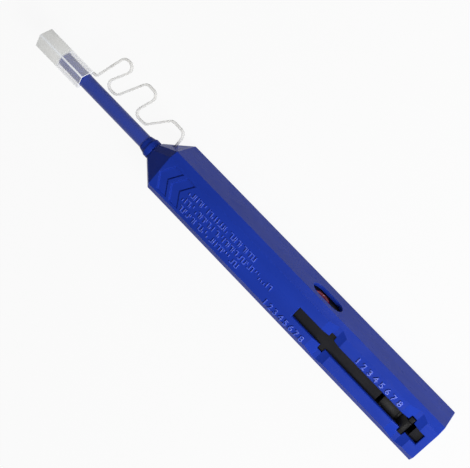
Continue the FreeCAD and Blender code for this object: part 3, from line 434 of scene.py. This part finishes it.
@dataclass(frozen=True)
class FrostedPlastic:
    """Milky plastic that lets what lies behind it show through, with an optional painted glow.

    Attributes:
        name: The material's name.
        colour: Its middle colour.
        roughness: Its middle roughness.
        rubbed: The size of the patches that differ in it.
        polish: How much smoother its smoothest patches are.
        scuff: How much rougher its roughest patches are.
        density: How much each thin wall hides.
        unevenness: How far the density varies either way.
        haze: How far the colour varies either way.
        clouds: The size of the milky clouds.
        flow: How the clouds are drawn out along the pen.
        frost: The size of the surface's fine relief.
        frost_depth: The relief's depth.
        solid_from: Where the thin walls end along the pen and a full block starts.
        solid_fade: Half the length over which the one becomes the other.
        solid_density: How much the block's faces hide.
        painted_glow: A painted glow: emission of the plastic's own colour, as a part of white, that
            stands in for light scattered inside it.
    """

    name: str
    colour: Colour = (0.95, 0.95, 0.93)
    roughness: float = 0.3
    rubbed: float = 2 * MM
    polish: float = 0.06
    scuff: float = 0.08
    density: float = 0.26
    unevenness: float = 0.1
    haze: float = 0.03
    clouds: float = 4 * MM
    flow: Sequence[float] = (0.4, 1.0, 1.0)
    frost: float = 0.6 * MM
    frost_depth: float = 0.003 * MM
    solid_from: float = math.inf
    solid_fade: float = 1 * MM
    solid_density: float = 0.9
    painted_glow: float = 0.0

    def material(self) -> bpy.types.Material:
        """Builds the node material.

        Returns:
            The material.
        """
        recipe = Recipe(self.name)
        clouds = recipe.spread(recipe.noise(self.clouds, FULL, self.flow), BROAD_NOISE, *WHOLE)
        colour = recipe.mottled(clouds, self.colour, self.haze)
        smooth, rough = self.roughness - self.polish, self.roughness + self.scuff
        roughness = recipe.spread(recipe.noise(self.rubbed, FULL), FINE_NOISE, smooth, rough)
        recipe.surface(colour, roughness, recipe.bump(recipe.noise(self.frost, SOFT), self.frost_depth))
        # painted glow: the plastic emits its own colour, so it looks lit from within
        recipe.join(colour, recipe.shader.inputs["Emission Color"])
        recipe.uniform(Emission_Strength=self.painted_glow)
        thin, thick = self.density * (1 - self.unevenness), self.density * (1 + self.unevenness)
        density = recipe.spread(clouds, WHOLE, thin, thick)
        if self.solid_from < math.inf:
            density = larger(recipe.tree, density, self.block(recipe))
        recipe.join(density, recipe.shader.inputs["Alpha"])
        return recipe.material

    def block(self, recipe: Recipe) -> Socket:
        """The density of the full block, which is nothing over the thin walls.

        Args:
            recipe: The material's recipe.

        Returns:
            The density.
        """
        split = recipe.tree.nodes.new("ShaderNodeSeparateXYZ")
        recipe.join(recipe.place, split.inputs["Vector"])
        fade = (self.solid_from - self.solid_fade, self.solid_from + self.solid_fade)
        return recipe.spread(split.outputs["X"], fade, 0.0, self.solid_density)


@dataclass(frozen=True)
class WorkedSteel:
    """Ground or drawn steel with fine lines along one axis.

    Attributes:
        name: The material's name.
        colour: Its middle colour.
        roughness: Its middle roughness.
        polish: How much smoother its smoothest lines are.
        scuff: How much rougher its roughest lines are.
        variation: How far the colour varies either way.
        pitch: The size of the lines' pattern.
        lines: The pattern's scale along each axis.
        line_depth: The lines' depth.
    """

    name: str
    colour: Colour = (0.56, 0.56, 0.58)
    roughness: float = 0.28
    polish: float = 0.06
    scuff: float = 0.08
    variation: float = 0.1
    pitch: float = 1.2 * MM
    lines: Sequence[float] = (1.0, 12.0, 1.0)
    line_depth: float = 0.006 * MM

    def material(self) -> bpy.types.Material:
        """Builds the node material.

        Returns:
            The material.
        """
        recipe = Recipe(self.name)
        lines = recipe.noise(self.pitch, CRISP, self.lines)
        colour = recipe.mottled(lines, self.colour, self.variation)
        smooth, rough = self.roughness - self.polish, self.roughness + self.scuff
        roughness = recipe.spread(lines, FINE_NOISE, smooth, rough)
        recipe.surface(colour, roughness, recipe.bump(lines, self.line_depth))
        recipe.uniform(Metallic=1.0)
        return recipe.material


@dataclass(frozen=True)
class WoundThread:
    """Microfibre thread laid side by side.

    Attributes:
        name: The material's name.
        colour: The thread's colour.
        hollow_shade: The colour's part that is left between two turns, a painted shade.
        crown_highlight: The colour's part on top of a turn, a painted highlight.
        bands: The pattern's scale, which gives a band for each turn.
        waviness: How unevenly the turns lie.
        turn_depth: The depth between two turns.
        fuzz: The size of the fibres' pattern.
        dullness: The range of its roughness.
    """

    name: str
    colour: Colour = (0.82, 0.82, 0.79)
    hollow_shade: float = 0.72
    crown_highlight: float = 1.08
    bands: float = 1 / (0.768 * MM)
    waviness: float = 1.4
    turn_depth: float = 0.05 * MM
    fuzz: float = 0.2 * MM
    dullness: Span = (0.75, 0.95)

    def material(self) -> bpy.types.Material:
        """Builds the node material.

        Returns:
            The material.
        """
        recipe = Recipe(self.name)
        wave = recipe.tree.nodes.new("ShaderNodeTexWave")
        wave.bands_direction = "Y"
        wave.inputs["Scale"].default_value = self.bands
        wave.inputs["Distortion"].default_value = self.waviness
        wave.inputs["Detail"].default_value = SOFT
        recipe.join(recipe.place, wave.inputs["Vector"])
        turns = wave.outputs["Fac"]
        # painted shade in the hollows between turns and a painted highlight on their tops
        colour = recipe.blend(turns, shade(self.colour, self.hollow_shade), shade(self.colour, self.crown_highlight))
        roughness = recipe.spread(recipe.noise(self.fuzz, FULL), FINE_NOISE, *self.dullness)
        recipe.surface(colour, roughness, recipe.bump(turns, self.turn_depth))
        return recipe.material


@dataclass(frozen=True)
class StudioFloor:
    """Pale matt paper that shows white to the camera and keeps the pen's shadow.

    Attributes:
        name: The material's name.
        colour: The paper's colour.
        variation: How far the colour varies either way.
        fibres: The size of the paper's fibres.
        fibre_depth: The fibres' depth.
        dullness: The range of its roughness.
        specular: The strength of its mirror layer.
        lift: How much of what the camera sees is plain white.
    """

    name: str = "studio_paper"
    colour: Colour = (0.58, 0.58, 0.58)
    variation: float = 0.015
    fibres: float = 1.5 * MM
    fibre_depth: float = 0.004 * MM
    dullness: Span = (0.85, 0.95)
    specular: float = 0.1
    lift: float = 0.93

    def material(self) -> bpy.types.Material:
        """Builds the node material: plain paper, lifted to white for camera and mirror rays.

        Returns:
            The material.
        """
        recipe = Recipe(self.name)
        fibres = recipe.noise(self.fibres, FULL)
        colour = recipe.mottled(fibres, self.colour, self.variation)
        roughness = recipe.spread(fibres, FINE_NOISE, *self.dullness)
        recipe.surface(colour, roughness, recipe.bump(fibres, self.fibre_depth))
        recipe.uniform(Specular_IOR_Level=self.specular)
        white = recipe.tree.nodes.new("ShaderNodeEmission")
        white.inputs["Strength"].default_value = 1.0
        share = recipe.spread(seen_rays(recipe.tree), WHOLE, 0.0, self.lift)
        mix = recipe.tree.nodes.new("ShaderNodeMixShader")
        recipe.join(share, mix.inputs["Fac"])
        recipe.join(recipe.shader.outputs["BSDF"], mix.inputs[1])
        recipe.join(white.outputs["Emission"], mix.inputs[2])
        recipe.join(mix.outputs["Shader"], recipe.output.inputs["Surface"])
        return recipe.material


def wear(piece: bpy.types.Object, material: bpy.types.Material) -> None:
    """Gives a piece one material all over."""
    piece.data.materials.clear()
    piece.data.materials.append(material)


def wear_nodes(nodes: Iterable[str], material: bpy.types.Material) -> None:
    """Gives CAD nodes a material in the slots of their objects."""
    for node in nodes:
        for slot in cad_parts[node].material_slots:
            slot.link = "OBJECT"
            slot.material = material
        LOG.info("dressed %s in %s", node, material.name)


@dataclass(frozen=True)
class Replacement:
    """A CAD node's copy with rounded edges, which is shown in its place.

    Attributes:
        node: The CAD node.
        name: The piece's name.
        corner: The width of its rounded edges.
        slot: The material slot; not used.
        body: The body that it rides on.
        sharpest: The smallest edge angle that is rounded, in degrees.
        smooth: The largest angle that is shaded smooth, in degrees.
    """

    node: str
    name: str
    corner: float
    slot: Slot
    body: Body
    sharpest: float = 28.0
    smooth: float = 32.0

    def build(self, material: bpy.types.Material) -> bpy.types.Object:
        """Models the copy, dresses it and puts it on its body.

        Args:
            material: What it is made of.

        Returns:
            The piece.
        """
        piece = merged_copy(self.node, self.name)
        round_edges(piece, self.corner, self.sharpest)
        smooth_by_angle(piece, self.smooth)
        wear(piece, material)
        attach(piece, self.body.value)
        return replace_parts(piece, self.node)


# ---------------------------------------------------------------- sleeve


@dataclass(frozen=True)
class MarkRow:
    """A row of raised marks on the front face, which runs towards the pen's rear.

    Attributes:
        start: Its front end along the pen.
        across: Its middle line across the pen.
        end: Its rear end along the pen.
    """

    start: float
    across: float
    end: float


@dataclass(frozen=True)
class RaisedMarks:
    """The sleeve's raised marks: plain bars ahead of the slot and numerals beside the notches.

    Attributes:
        usage: The rows of bars.
        scales: The rows of numerals.
        rise: How far the marks stand proud.
        sink: How far their feet reach into the face.
        height: A mark's size across the row.
        stroke: A bar's thickness.
        bar_edge: The rounding of a bar.
        flat_length: A lying bar's length, in strokes.
        flat_reach: From a lying bar's middle to its upright partner, in strokes.
        short_shift: How far a short bar lies off the middle line, in heights.
        flat_shift: The same for a lying bar.
        pitch: The step from mark to mark.
        gap: The space between two groups.
        first_group: The fewest and most marks in a row's first group.
        next_groups: The same for the groups after it.
        seed: What the random choices start from.
        numerals: How many numerals a scale has.
        font_ratio: The font's size for a numeral one unit high.
        numeral_edge: The rounding of a numeral.
        numeral_weight: How much bolder the numerals are than the plain font.
        numeral_steps: The steps in each of the font's curves.
        smooth: The largest angle that is shaded smooth, in degrees.
    """

    usage: Sequence[MarkRow] = (
        MarkRow(53.9 * MM, -2.8 * MM, 20.3 * MM),
        MarkRow(54.6 * MM, 0.7 * MM, 9.2 * MM),
        MarkRow(53.3 * MM, 4.1 * MM, 22.9 * MM),
    )
    scales: Sequence[MarkRow] = (
        MarkRow(8.3 * MM, 5.9 * MM, -12.8 * MM),
        MarkRow(-29.7 * MM, -4.2 * MM, -53.3 * MM),
    )
    rise: float = 0.34 * MM
    sink: float = 0.02 * MM
    height: float = 2.4 * MM
    stroke: float = 0.48 * MM
    bar_edge: float = 0.15 * MM
    flat_length: float = 2.6
    flat_reach: float = 1.2
    short_shift: float = 0.25
    flat_shift: float = 0.4
    pitch: float = 1.25 * MM
    gap: float = 0.7 * MM
    first_group: tuple[int, int] = (5, 9)
    next_groups: tuple[int, int] = (5, 11)
    seed: int = 7
    numerals: int = 8
    font_ratio: float = 1.42
    numeral_edge: float = 0.06 * MM
    numeral_weight: float = 0.03 * MM
    numeral_steps: int = 4
    smooth: float = 35.0

    def build(self, material: bpy.types.Material) -> list[bpy.types.Object]:
        """Models the marks, dresses them and puts them on the sleeve.

        Args:
            material: What they are made of, in a blue lighter than the sleeve's as a painted highlight.

        Returns:
            The rows of bars and the numerals.
        """
        marks = [self.usage_rows(), self.scale_numbers()]
        for piece in marks:
            wear(piece, material)
            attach(piece, Body.ROOT.value)
        return marks

    def middle(self) -> float:
        """The height of the marks' middle, without their feet."""
        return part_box("housing_shell")[1].z + self.rise / 2

    def bar(self, length: float, width: float) -> bpy.types.Object:
        """One raised bar with a rounded top.

        Args:
            length: Along the pen.
            width: Across the pen.

        Returns:
            The bar.
        """
        clear_selection()
        bpy.ops.mesh.primitive_cube_add(size=1, location=(0, 0, self.middle() - self.sink))
        bar = name_piece("raised_bar")
        bar.scale = (length, width, self.rise + 2 * self.sink)
        settle(bar)
        finish_modifier(
            bar, "BEVEL", width=self.bar_edge, segments=2, limit_method="ANGLE", use_clamp_overlap=True,
        )
        return bar

    def usage_rows(self) -> bpy.types.Object:
        """Three rows of plain raised bars in groups, in place of moulded usage notes.

        Returns:
            The piece.
        """
        chooser = random.Random(self.seed)
        upright = self.bar(self.stroke, self.height)
        short = self.bar(self.stroke, self.height / 2)
        flat = self.bar(self.stroke * self.flat_length, self.stroke)
        kinds = [(upright, 0)]
        for kind, shift in ((short, self.short_shift), (flat, self.flat_shift)):
            kinds += [(kind, shift), (kind, -shift)]
        bars = []
        for row in self.usage:
            along, left = row.start, chooser.randint(*self.first_group)
            while along > row.end:
                kind, shift = chooser.choice(kinds)
                bars.append(self.placed(kind, along, row.across + shift * self.height))
                if kind is flat:
                    bars.append(self.placed(upright, along - self.stroke * self.flat_reach, row.across))
                along -= self.pitch
                left -= 1
                if left == 0:
                    along -= self.gap
                    left = chooser.randint(*self.next_groups)
        for pattern in (upright, short, flat):
            bpy.data.objects.remove(pattern)
        return self.joined(bars, "raised_rows")

    def placed(self, pattern: bpy.types.Object, along: float, across: float) -> bpy.types.Object:
        """A copy of a bar at a place on the face."""
        bar = own_copy(pattern, "raised_bar")
        bar.location = (along, across, 0)
        return bar

    def scale_numbers(self) -> bpy.types.Object:
        """Plain counting numerals beside each lock notch.

        Returns:
            The piece.
        """
        signs = []
        for row in self.scales:
            for index in range(self.numerals):
                along = row.start + (row.end - row.start) * (index + 0.5) / self.numerals
                signs.append(self.numeral(str(index + 1), along, row.across))
        return self.joined(signs, "scale_numerals")

    def numeral(self, text: str, along: float, across: float) -> bpy.types.Object:
        """One raised numeral, set to read from the pen's nose to its rear.

        Args:
            text: The numeral.
            along: Its middle along the pen.
            across: Its middle across the pen.

        Returns:
            The numeral's mesh object.
        """
        clear_selection()
        bpy.ops.object.text_add()
        sign = bpy.context.view_layer.objects.active
        sign.data.body = text
        sign.data.size = self.height * self.font_ratio
        sign.data.align_x = "CENTER"
        sign.data.align_y = "CENTER"
        sign.data.extrude = self.rise / 2 + self.sink
        sign.data.bevel_depth = self.numeral_edge
        sign.data.offset = self.numeral_weight
        sign.data.resolution_u = self.numeral_steps
        bpy.ops.object.convert(target="MESH")
        sign.rotation_euler = (0, 0, math.pi)
        sign.location = (along, across, self.middle() - 2 * self.sink)
        return sign

    def joined(self, marks: Sequence[bpy.types.Object], name: str) -> bpy.types.Object:
        """Joins marks into one closed piece.

        Args:
            marks: The separate marks.
            name: The piece's name.

        Returns:
            The piece.
        """
        piece = join_pieces(marks, name)
        settle(piece)
        bpy.ops.object.mode_set(mode="EDIT")
        bpy.ops.mesh.select_all(action="SELECT")
        bpy.ops.mesh.remove_doubles(threshold=WELD / 2)
        bpy.ops.mesh.normals_make_consistent(inside=False)
        bpy.ops.object.mode_set(mode="OBJECT")
        smooth_by_angle(piece, self.smooth)
        return piece


@dataclass(frozen=True)
class Sleeve:
    """The faceted blue sleeve with its nose bush, rear plug and raised marks."""

    shell: Replacement = Replacement(
        "housing_shell", "sleeve_skin", 0.3 * MM, Slot.HOUSING, Body.ROOT, sharpest=50.0, smooth=10.0
    )
    bush: Replacement = Replacement("nose_bush", "nose_ring", 0.16 * MM, Slot.HOUSING, Body.ROOT)
    marks: RaisedMarks = RaisedMarks()
    finish: MouldedPlastic = MouldedPlastic(
        "moulded_blue", (0.0125, 0.041, 0.375), roughness=0.3, grain_depth=0.003 * MM, specular=0.055
    )
    # the marks are the sleeve's plastic, coloured a lighter blue as a painted highlight on their raised
    # edges
    mark_highlight_finish: MouldedPlastic = MouldedPlastic(
        "moulded_blue_marks_painted_highlight", (0.024, 0.075, 0.56), roughness=0.2, grain_depth=0.004 * MM, specular=0.45
    )

    def build(self) -> list[bpy.types.Object]:
        """Models the sleeve's skin and marks, and dresses them.

        Returns:
            The new pieces.
        """
        material = self.finish.material()
        marks = self.marks.build(self.mark_highlight_finish.material())
        wear_nodes(["rear_plug"], material)
        return [self.shell.build(material), self.bush.build(material), *marks]


# ---------------------------------------------------------------- carriage, latch and reels


@dataclass(frozen=True)
class Coil:
    """A spring copied from its CAD node onto the carriage.

    Attributes:
        node: The CAD node.
        name: The piece's name.
        joint: The joint; not used.
        axis: The way that the spring lies; not used.
        keep: The part of its length that is left at the joint's limit; not used.
        smooth: The largest angle that is shaded smooth, in degrees.
    """

    node: str
    name: str
    joint: str
    axis: Place
    keep: float
    smooth: float = 60.0

    def build(self, material: bpy.types.Material) -> bpy.types.Object:
        """Models the spring, dresses it and puts it on the carriage.

        Args:
            material: What it is made of.

        Returns:
            The piece.
        """
        piece = merged_copy(self.node, self.name)
        smooth_by_angle(piece, self.smooth)
        wear(piece, material)
        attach(piece, Body.CARRIAGE.value)
        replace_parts(piece, self.node)
        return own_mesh(piece)


@dataclass(frozen=True)
class Carriage:
    """The black sliding frame, its thumb latch and what it carries."""

    lever: Replacement = Replacement("latch_lever", "thumb_latch", 0.14 * MM, Slot.LATCH, Body.LATCH)
    reel: Replacement = Replacement("supply_reel", "supply_bobbin", 0.12 * MM, Slot.REEL, Body.SUPPLY)
    coils: Sequence[Coil] = (
        Coil("return_spring", "return_coil", "nozzle_push", (1.0, 0.0, 0.0), 0.38),
        Coil("latch_spring", "latch_coil", "latch_press", (0.0, 0.0, 1.0), 0.72),
    )
    frame_finish: MouldedPlastic = MouldedPlastic(
        "carriage_black", (0.0052, 0.0052, 0.0078), roughness=0.4, variation=0.14, specular=0.1
    )
    latch_finish: MouldedPlastic = MouldedPlastic(
        "latch_black", (0.0075, 0.0073, 0.0075), roughness=0.3, variation=0.14, specular=0.14
    )
    supply_finish: MouldedPlastic = MouldedPlastic("reel_red", (0.24, 0.014, 0.04), roughness=0.13)
    takeup_finish: MouldedPlastic = MouldedPlastic("reel_grey", (0.42, 0.43, 0.45), roughness=0.35)
    gear_finish: MouldedPlastic = MouldedPlastic(
        "acetal_white", (0.74, 0.74, 0.71), roughness=0.38, variation=0.03
    )
    drawn_finish: WorkedSteel = WorkedSteel(
        "spring_steel", (0.46, 0.46, 0.48), roughness=0.34, lines=(4.0, 4.0, 4.0)
    )
    ground_finish: WorkedSteel = WorkedSteel("ground_steel")
    thread_finish: WoundThread = WoundThread("cleaning_thread")

    def build(self) -> list[bpy.types.Object]:
        """Models the latch, the springs and the red reel, and dresses the carriage's nodes.

        Returns:
            The new pieces.
        """
        drawn = self.drawn_finish.material()
        self.dress_nodes(drawn)
        pieces = [coil.build(drawn) for coil in self.coils]
        pieces.append(self.lever.build(self.latch_finish.material()))
        pieces.append(self.reel.build(self.supply_finish.material()))
        return pieces

    def dress_nodes(self, drawn: bpy.types.Material) -> None:
        """Gives the mechanism's nodes their finishes.

        Args:
            drawn: The drawn steel, which the springs share.
        """
        dressed = (
            (("carriage_frame", "carriage_cover"), self.frame_finish.material()),
            (("takeup_reel",), self.takeup_finish.material()),
            (
                ("takeup_pinion", "feed_rack", "front_bush", "spindle", "cleaning_tip"),
                self.gear_finish.material(),
            ),
            (("supply_axle", "takeup_axle", "latch_pin", "cam_pin"), self.ground_finish.material()),
            (("supply_thread", "takeup_thread", "cleaning_thread"), self.thread_finish.material()),
            (("drive_pawl",), drawn),
        )
        for nodes, material in dressed:
            wear_nodes(nodes, material)


# ---------------------------------------------------------------- nozzle, cap and tether


@dataclass(frozen=True)
class Nozzle:
    """The blue nozzle tube."""

    finish: MouldedPlastic = MouldedPlastic(
        "nozzle_blue", (0.0135, 0.043, 0.36), roughness=0.26, specular=0.4, flow=(0.15, 1.0, 1.0)
    )

    def build(self) -> list[bpy.types.Object]:
        """Dresses the tube.

        Returns:
            No new pieces.
        """
        wear_nodes(["nozzle_tube"], self.finish.material())
        return []


@dataclass(frozen=True)
class GuideCap:
    """The frosted square cap.

    Attributes:
        shell: The cap.
        finish: Its walls and block, with a painted glow.
        thick_finish: Its edges and mouth, which look denser than its faces and carry a stronger painted
            glow.
        edge_area: The largest face that counts as an edge, in square metres.
        mouth_slope: How far back a face has to look to count as the mouth.
    """

    shell: Replacement = Replacement("end_cap", "guide_cap", 0.12 * MM, Slot.CAP, Body.CAP)
    # both cap finishes glow with painted light, brightening the milky cap and its edges as if lit from
    # within
    finish: FrostedPlastic = FrostedPlastic("frosted_cap", density=0.2, solid_from=127.5 * MM, painted_glow=0.15)
    thick_finish: FrostedPlastic = FrostedPlastic(
        "frosted_cap_edges", (0.93, 0.95, 0.98), density=0.8, painted_glow=0.17
    )
    edge_area: float = 12e-6
    mouth_slope: float = -0.5

    def build(self) -> list[bpy.types.Object]:
        """Models the cap and dresses it.

        Returns:
            The new pieces.
        """
        cap = self.shell.build(self.finish.material())
        cap.data.materials.append(self.thick_finish.material())
        for face in cap.data.polygons:
            face.material_index = int(face.area < self.edge_area or face.normal.x < self.mouth_slope)
        return [cap]


@dataclass(frozen=True)
class StrapLength:
    """One length of the strap.

    Attributes:
        name: The piece's name.
        rear: Its rear end along the pen.
        front: Its front end along the pen.
        rear_body: What its rear end moves with; not used.
        front_body: What its front end moves with; not used.
    """

    name: str
    rear: float
    front: float
    rear_body: Body
    front_body: Body


@dataclass(frozen=True)
class Tether:
    """The flat moulded strap from the nose to the cap, in three lengths that meet end to end.

    Attributes:
        lengths: The three lengths, from the nose on.
        finish: The strap's plastic.
        edge: The width of its rounded edges.
        sharpest: The smallest edge angle that is rounded, in degrees.
        smooth: The largest angle that is shaded smooth, in degrees.
    """

    lengths: Sequence[StrapLength] = (
        StrapLength("strap_nose_length", 72.0 * MM, 97.5 * MM, Body.ROOT, Body.CARRIAGE),
        StrapLength("strap_middle_length", 97.5 * MM, 111.2 * MM, Body.CARRIAGE, Body.NOZZLE),
        StrapLength("strap_cap_length", 111.2 * MM, 115.8 * MM, Body.NOZZLE, Body.CAP),
    )
    finish: FrostedPlastic = FrostedPlastic(
        "strap_clear", (0.90, 0.89, 0.86), roughness=0.4, density=0.5
    )
    edge: float = 0.12 * MM
    sharpest: float = 50.0
    smooth: float = 40.0

    def build(self) -> list[bpy.types.Object]:
        """Models the three lengths and dresses them.

        Returns:
            The new pieces.
        """
        material = self.finish.material()
        pieces = []
        for length in self.lengths:
            piece = self.cut(length)
            wear(piece, material)
            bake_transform(piece)
            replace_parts(piece, "tether_strap")
            pieces.append(piece)
        return pieces

    def cut(self, length: StrapLength) -> bpy.types.Object:
        """Cuts one length off a rounded copy of the strap.

        Args:
            length: Which length.

        Returns:
            The closed piece.
        """
        piece = merged_copy("tether_strap", length.name)
        round_edges(piece, self.edge, self.sharpest)
        first, last = self.lengths[0], self.lengths[-1]
        make_active(piece)
        bpy.ops.object.mode_set(mode="EDIT")
        for place, way, bound in ((length.rear, 1, first.rear), (length.front, -1, last.front)):
            if place != bound:
                bpy.ops.mesh.select_all(action="SELECT")
                bpy.ops.mesh.bisect(
                    plane_co=(place, 0, 0), plane_no=(way, 0, 0), use_fill=True, clear_inner=True
                )
        bpy.ops.object.mode_set(mode="OBJECT")
        smooth_by_angle(piece, self.smooth)
        return piece


# ---------------------------------------------------------------- studio


@dataclass(frozen=True)
class Softbox:
    """A square soft lamp aimed at a point.

    Attributes:
        name: The lamp's name.
        place: Where it stands.
        aim: What it points at.
        size: Its side in metres.
        power: Its power in watts.
    """

    name: str
    place: Place
    aim: Place
    size: float
    power: float

    def build(self) -> None:
        """Sets the lamp up."""
        light = bpy.data.lights.new(self.name, "AREA")
        light.size = self.size
        light.energy = self.power
        lamp = bpy.data.objects.new(self.name, light)
        bpy.context.scene.collection.objects.link(lamp)
        lamp.location = self.place
        lamp.rotation_euler = (Vector(self.aim) - Vector(self.place)).to_track_quat("-Z", "Y").to_euler()


@dataclass(frozen=True)
class Studio:
    """Floor, lamps, world and camera.

    Attributes:
        lamps: The lamps.
        world_strength: How much light the air gives.
        floor_size: The floor's side in metres.
        floor_drop: How far it lies under the pen.
        camera_place: Where the camera stands.
        camera_forward: Which way it looks.
        camera_up: Which way is up to it.
        lens: Its focal length in millimetres.
        sensor: Its sensor's width in millimetres.
        clip: The nearest and farthest things that it sees.
    """

    lamps: Sequence[Softbox] = (
        Softbox("key_softbox", (-0.36, -0.07, 0.34), (-0.01, 0.0, 0.01), 0.20, 2.75),
        Softbox("side_softbox", (-0.03, -0.33, 0.16), (-0.04, 0.0, 0.01), 0.11, 0.2),
        Softbox("top_softbox", (-0.09, 0.20, 0.47), (-0.05, 0.0, 0.01), 0.16, 0.35),
    )
    world_strength: float = 0.02
    floor_size: float = 6.0
    floor_drop: float = 0.05 * MM
    camera_place: Place = (-0.02864, -0.16670, 0.38849)
    camera_forward: Place = (0.148787, 0.400264, -0.904241)
    camera_up: Place = (0.71103, -0.67883, -0.18349)
    lens: float = 86.4
    sensor: float = 36.0
    clip: Span = (0.01, 20.0)

    def build(self) -> None:
        """Sets up everything that isn't the pen."""
        self.floor()
        self.world()
        for lamp in self.lamps:
            lamp.build()
        self.camera()
        bpy.context.scene.view_settings.view_transform = "Standard"

    def floor(self) -> None:
        """A plain pale sheet under the pen."""
        clear_selection()
        bpy.ops.mesh.primitive_plane_add(size=self.floor_size, location=(0, 0, -self.floor_drop))
        sheet = name_piece("studio_floor")
        settle(sheet)
        wear(sheet, StudioFloor().material())

    def world(self) -> None:
        """Soft even light all round, white where the camera or a mirror sees it."""
        world = bpy.data.worlds.new("studio_air")
        bpy.context.scene.world = world
        world.use_nodes = True
        nodes, links = world.node_tree.nodes, world.node_tree.links
        nodes.clear()
        output = nodes.new("ShaderNodeOutputWorld")
        air = nodes.new("ShaderNodeBackground")
        air.inputs["Color"].default_value = (1.0, 1.0, 1.0, 1.0)
        links.new(air.outputs["Background"], output.inputs["Surface"])
        strength = nodes.new("ShaderNodeMapRange")
        strength.inputs["To Min"].default_value = self.world_strength
        strength.inputs["To Max"].default_value = 1.0
        links.new(seen_rays(world.node_tree), strength.inputs["Value"])
        links.new(strength.outputs["Result"], air.inputs["Strength"])

    def camera(self) -> None:
        """The camera at its viewing angle."""
        lens = bpy.data.cameras.new("camera")
        lens.lens = self.lens
        lens.sensor_width = self.sensor
        lens.clip_start, lens.clip_end = self.clip
        camera = bpy.data.objects.new("camera", lens)
        bpy.context.scene.collection.objects.link(camera)
        back = -Vector(self.camera_forward).normalized()
        right = Vector(self.camera_up).cross(back).normalized()
        up = back.cross(right)
        turn = Matrix((right, up, back)).transposed()
        camera.matrix_world = Matrix.Translation(self.camera_place) @ turn.to_4x4()
        bpy.context.scene.camera = camera


def main() -> None:
    """Builds every sub-assembly in order, then the studio."""
    logging.basicConfig(level=logging.INFO, format="%(name)s: %(message)s")
    clear_selection()
    for assembly in (Sleeve(), Carriage(), Nozzle(), GuideCap(), Tether()):
        for piece in assembly.build():
            LOG.info("built %s with %d faces", piece.name, len(piece.data.polygons))
    Studio().build()


if __name__ == "__main__":
    main()
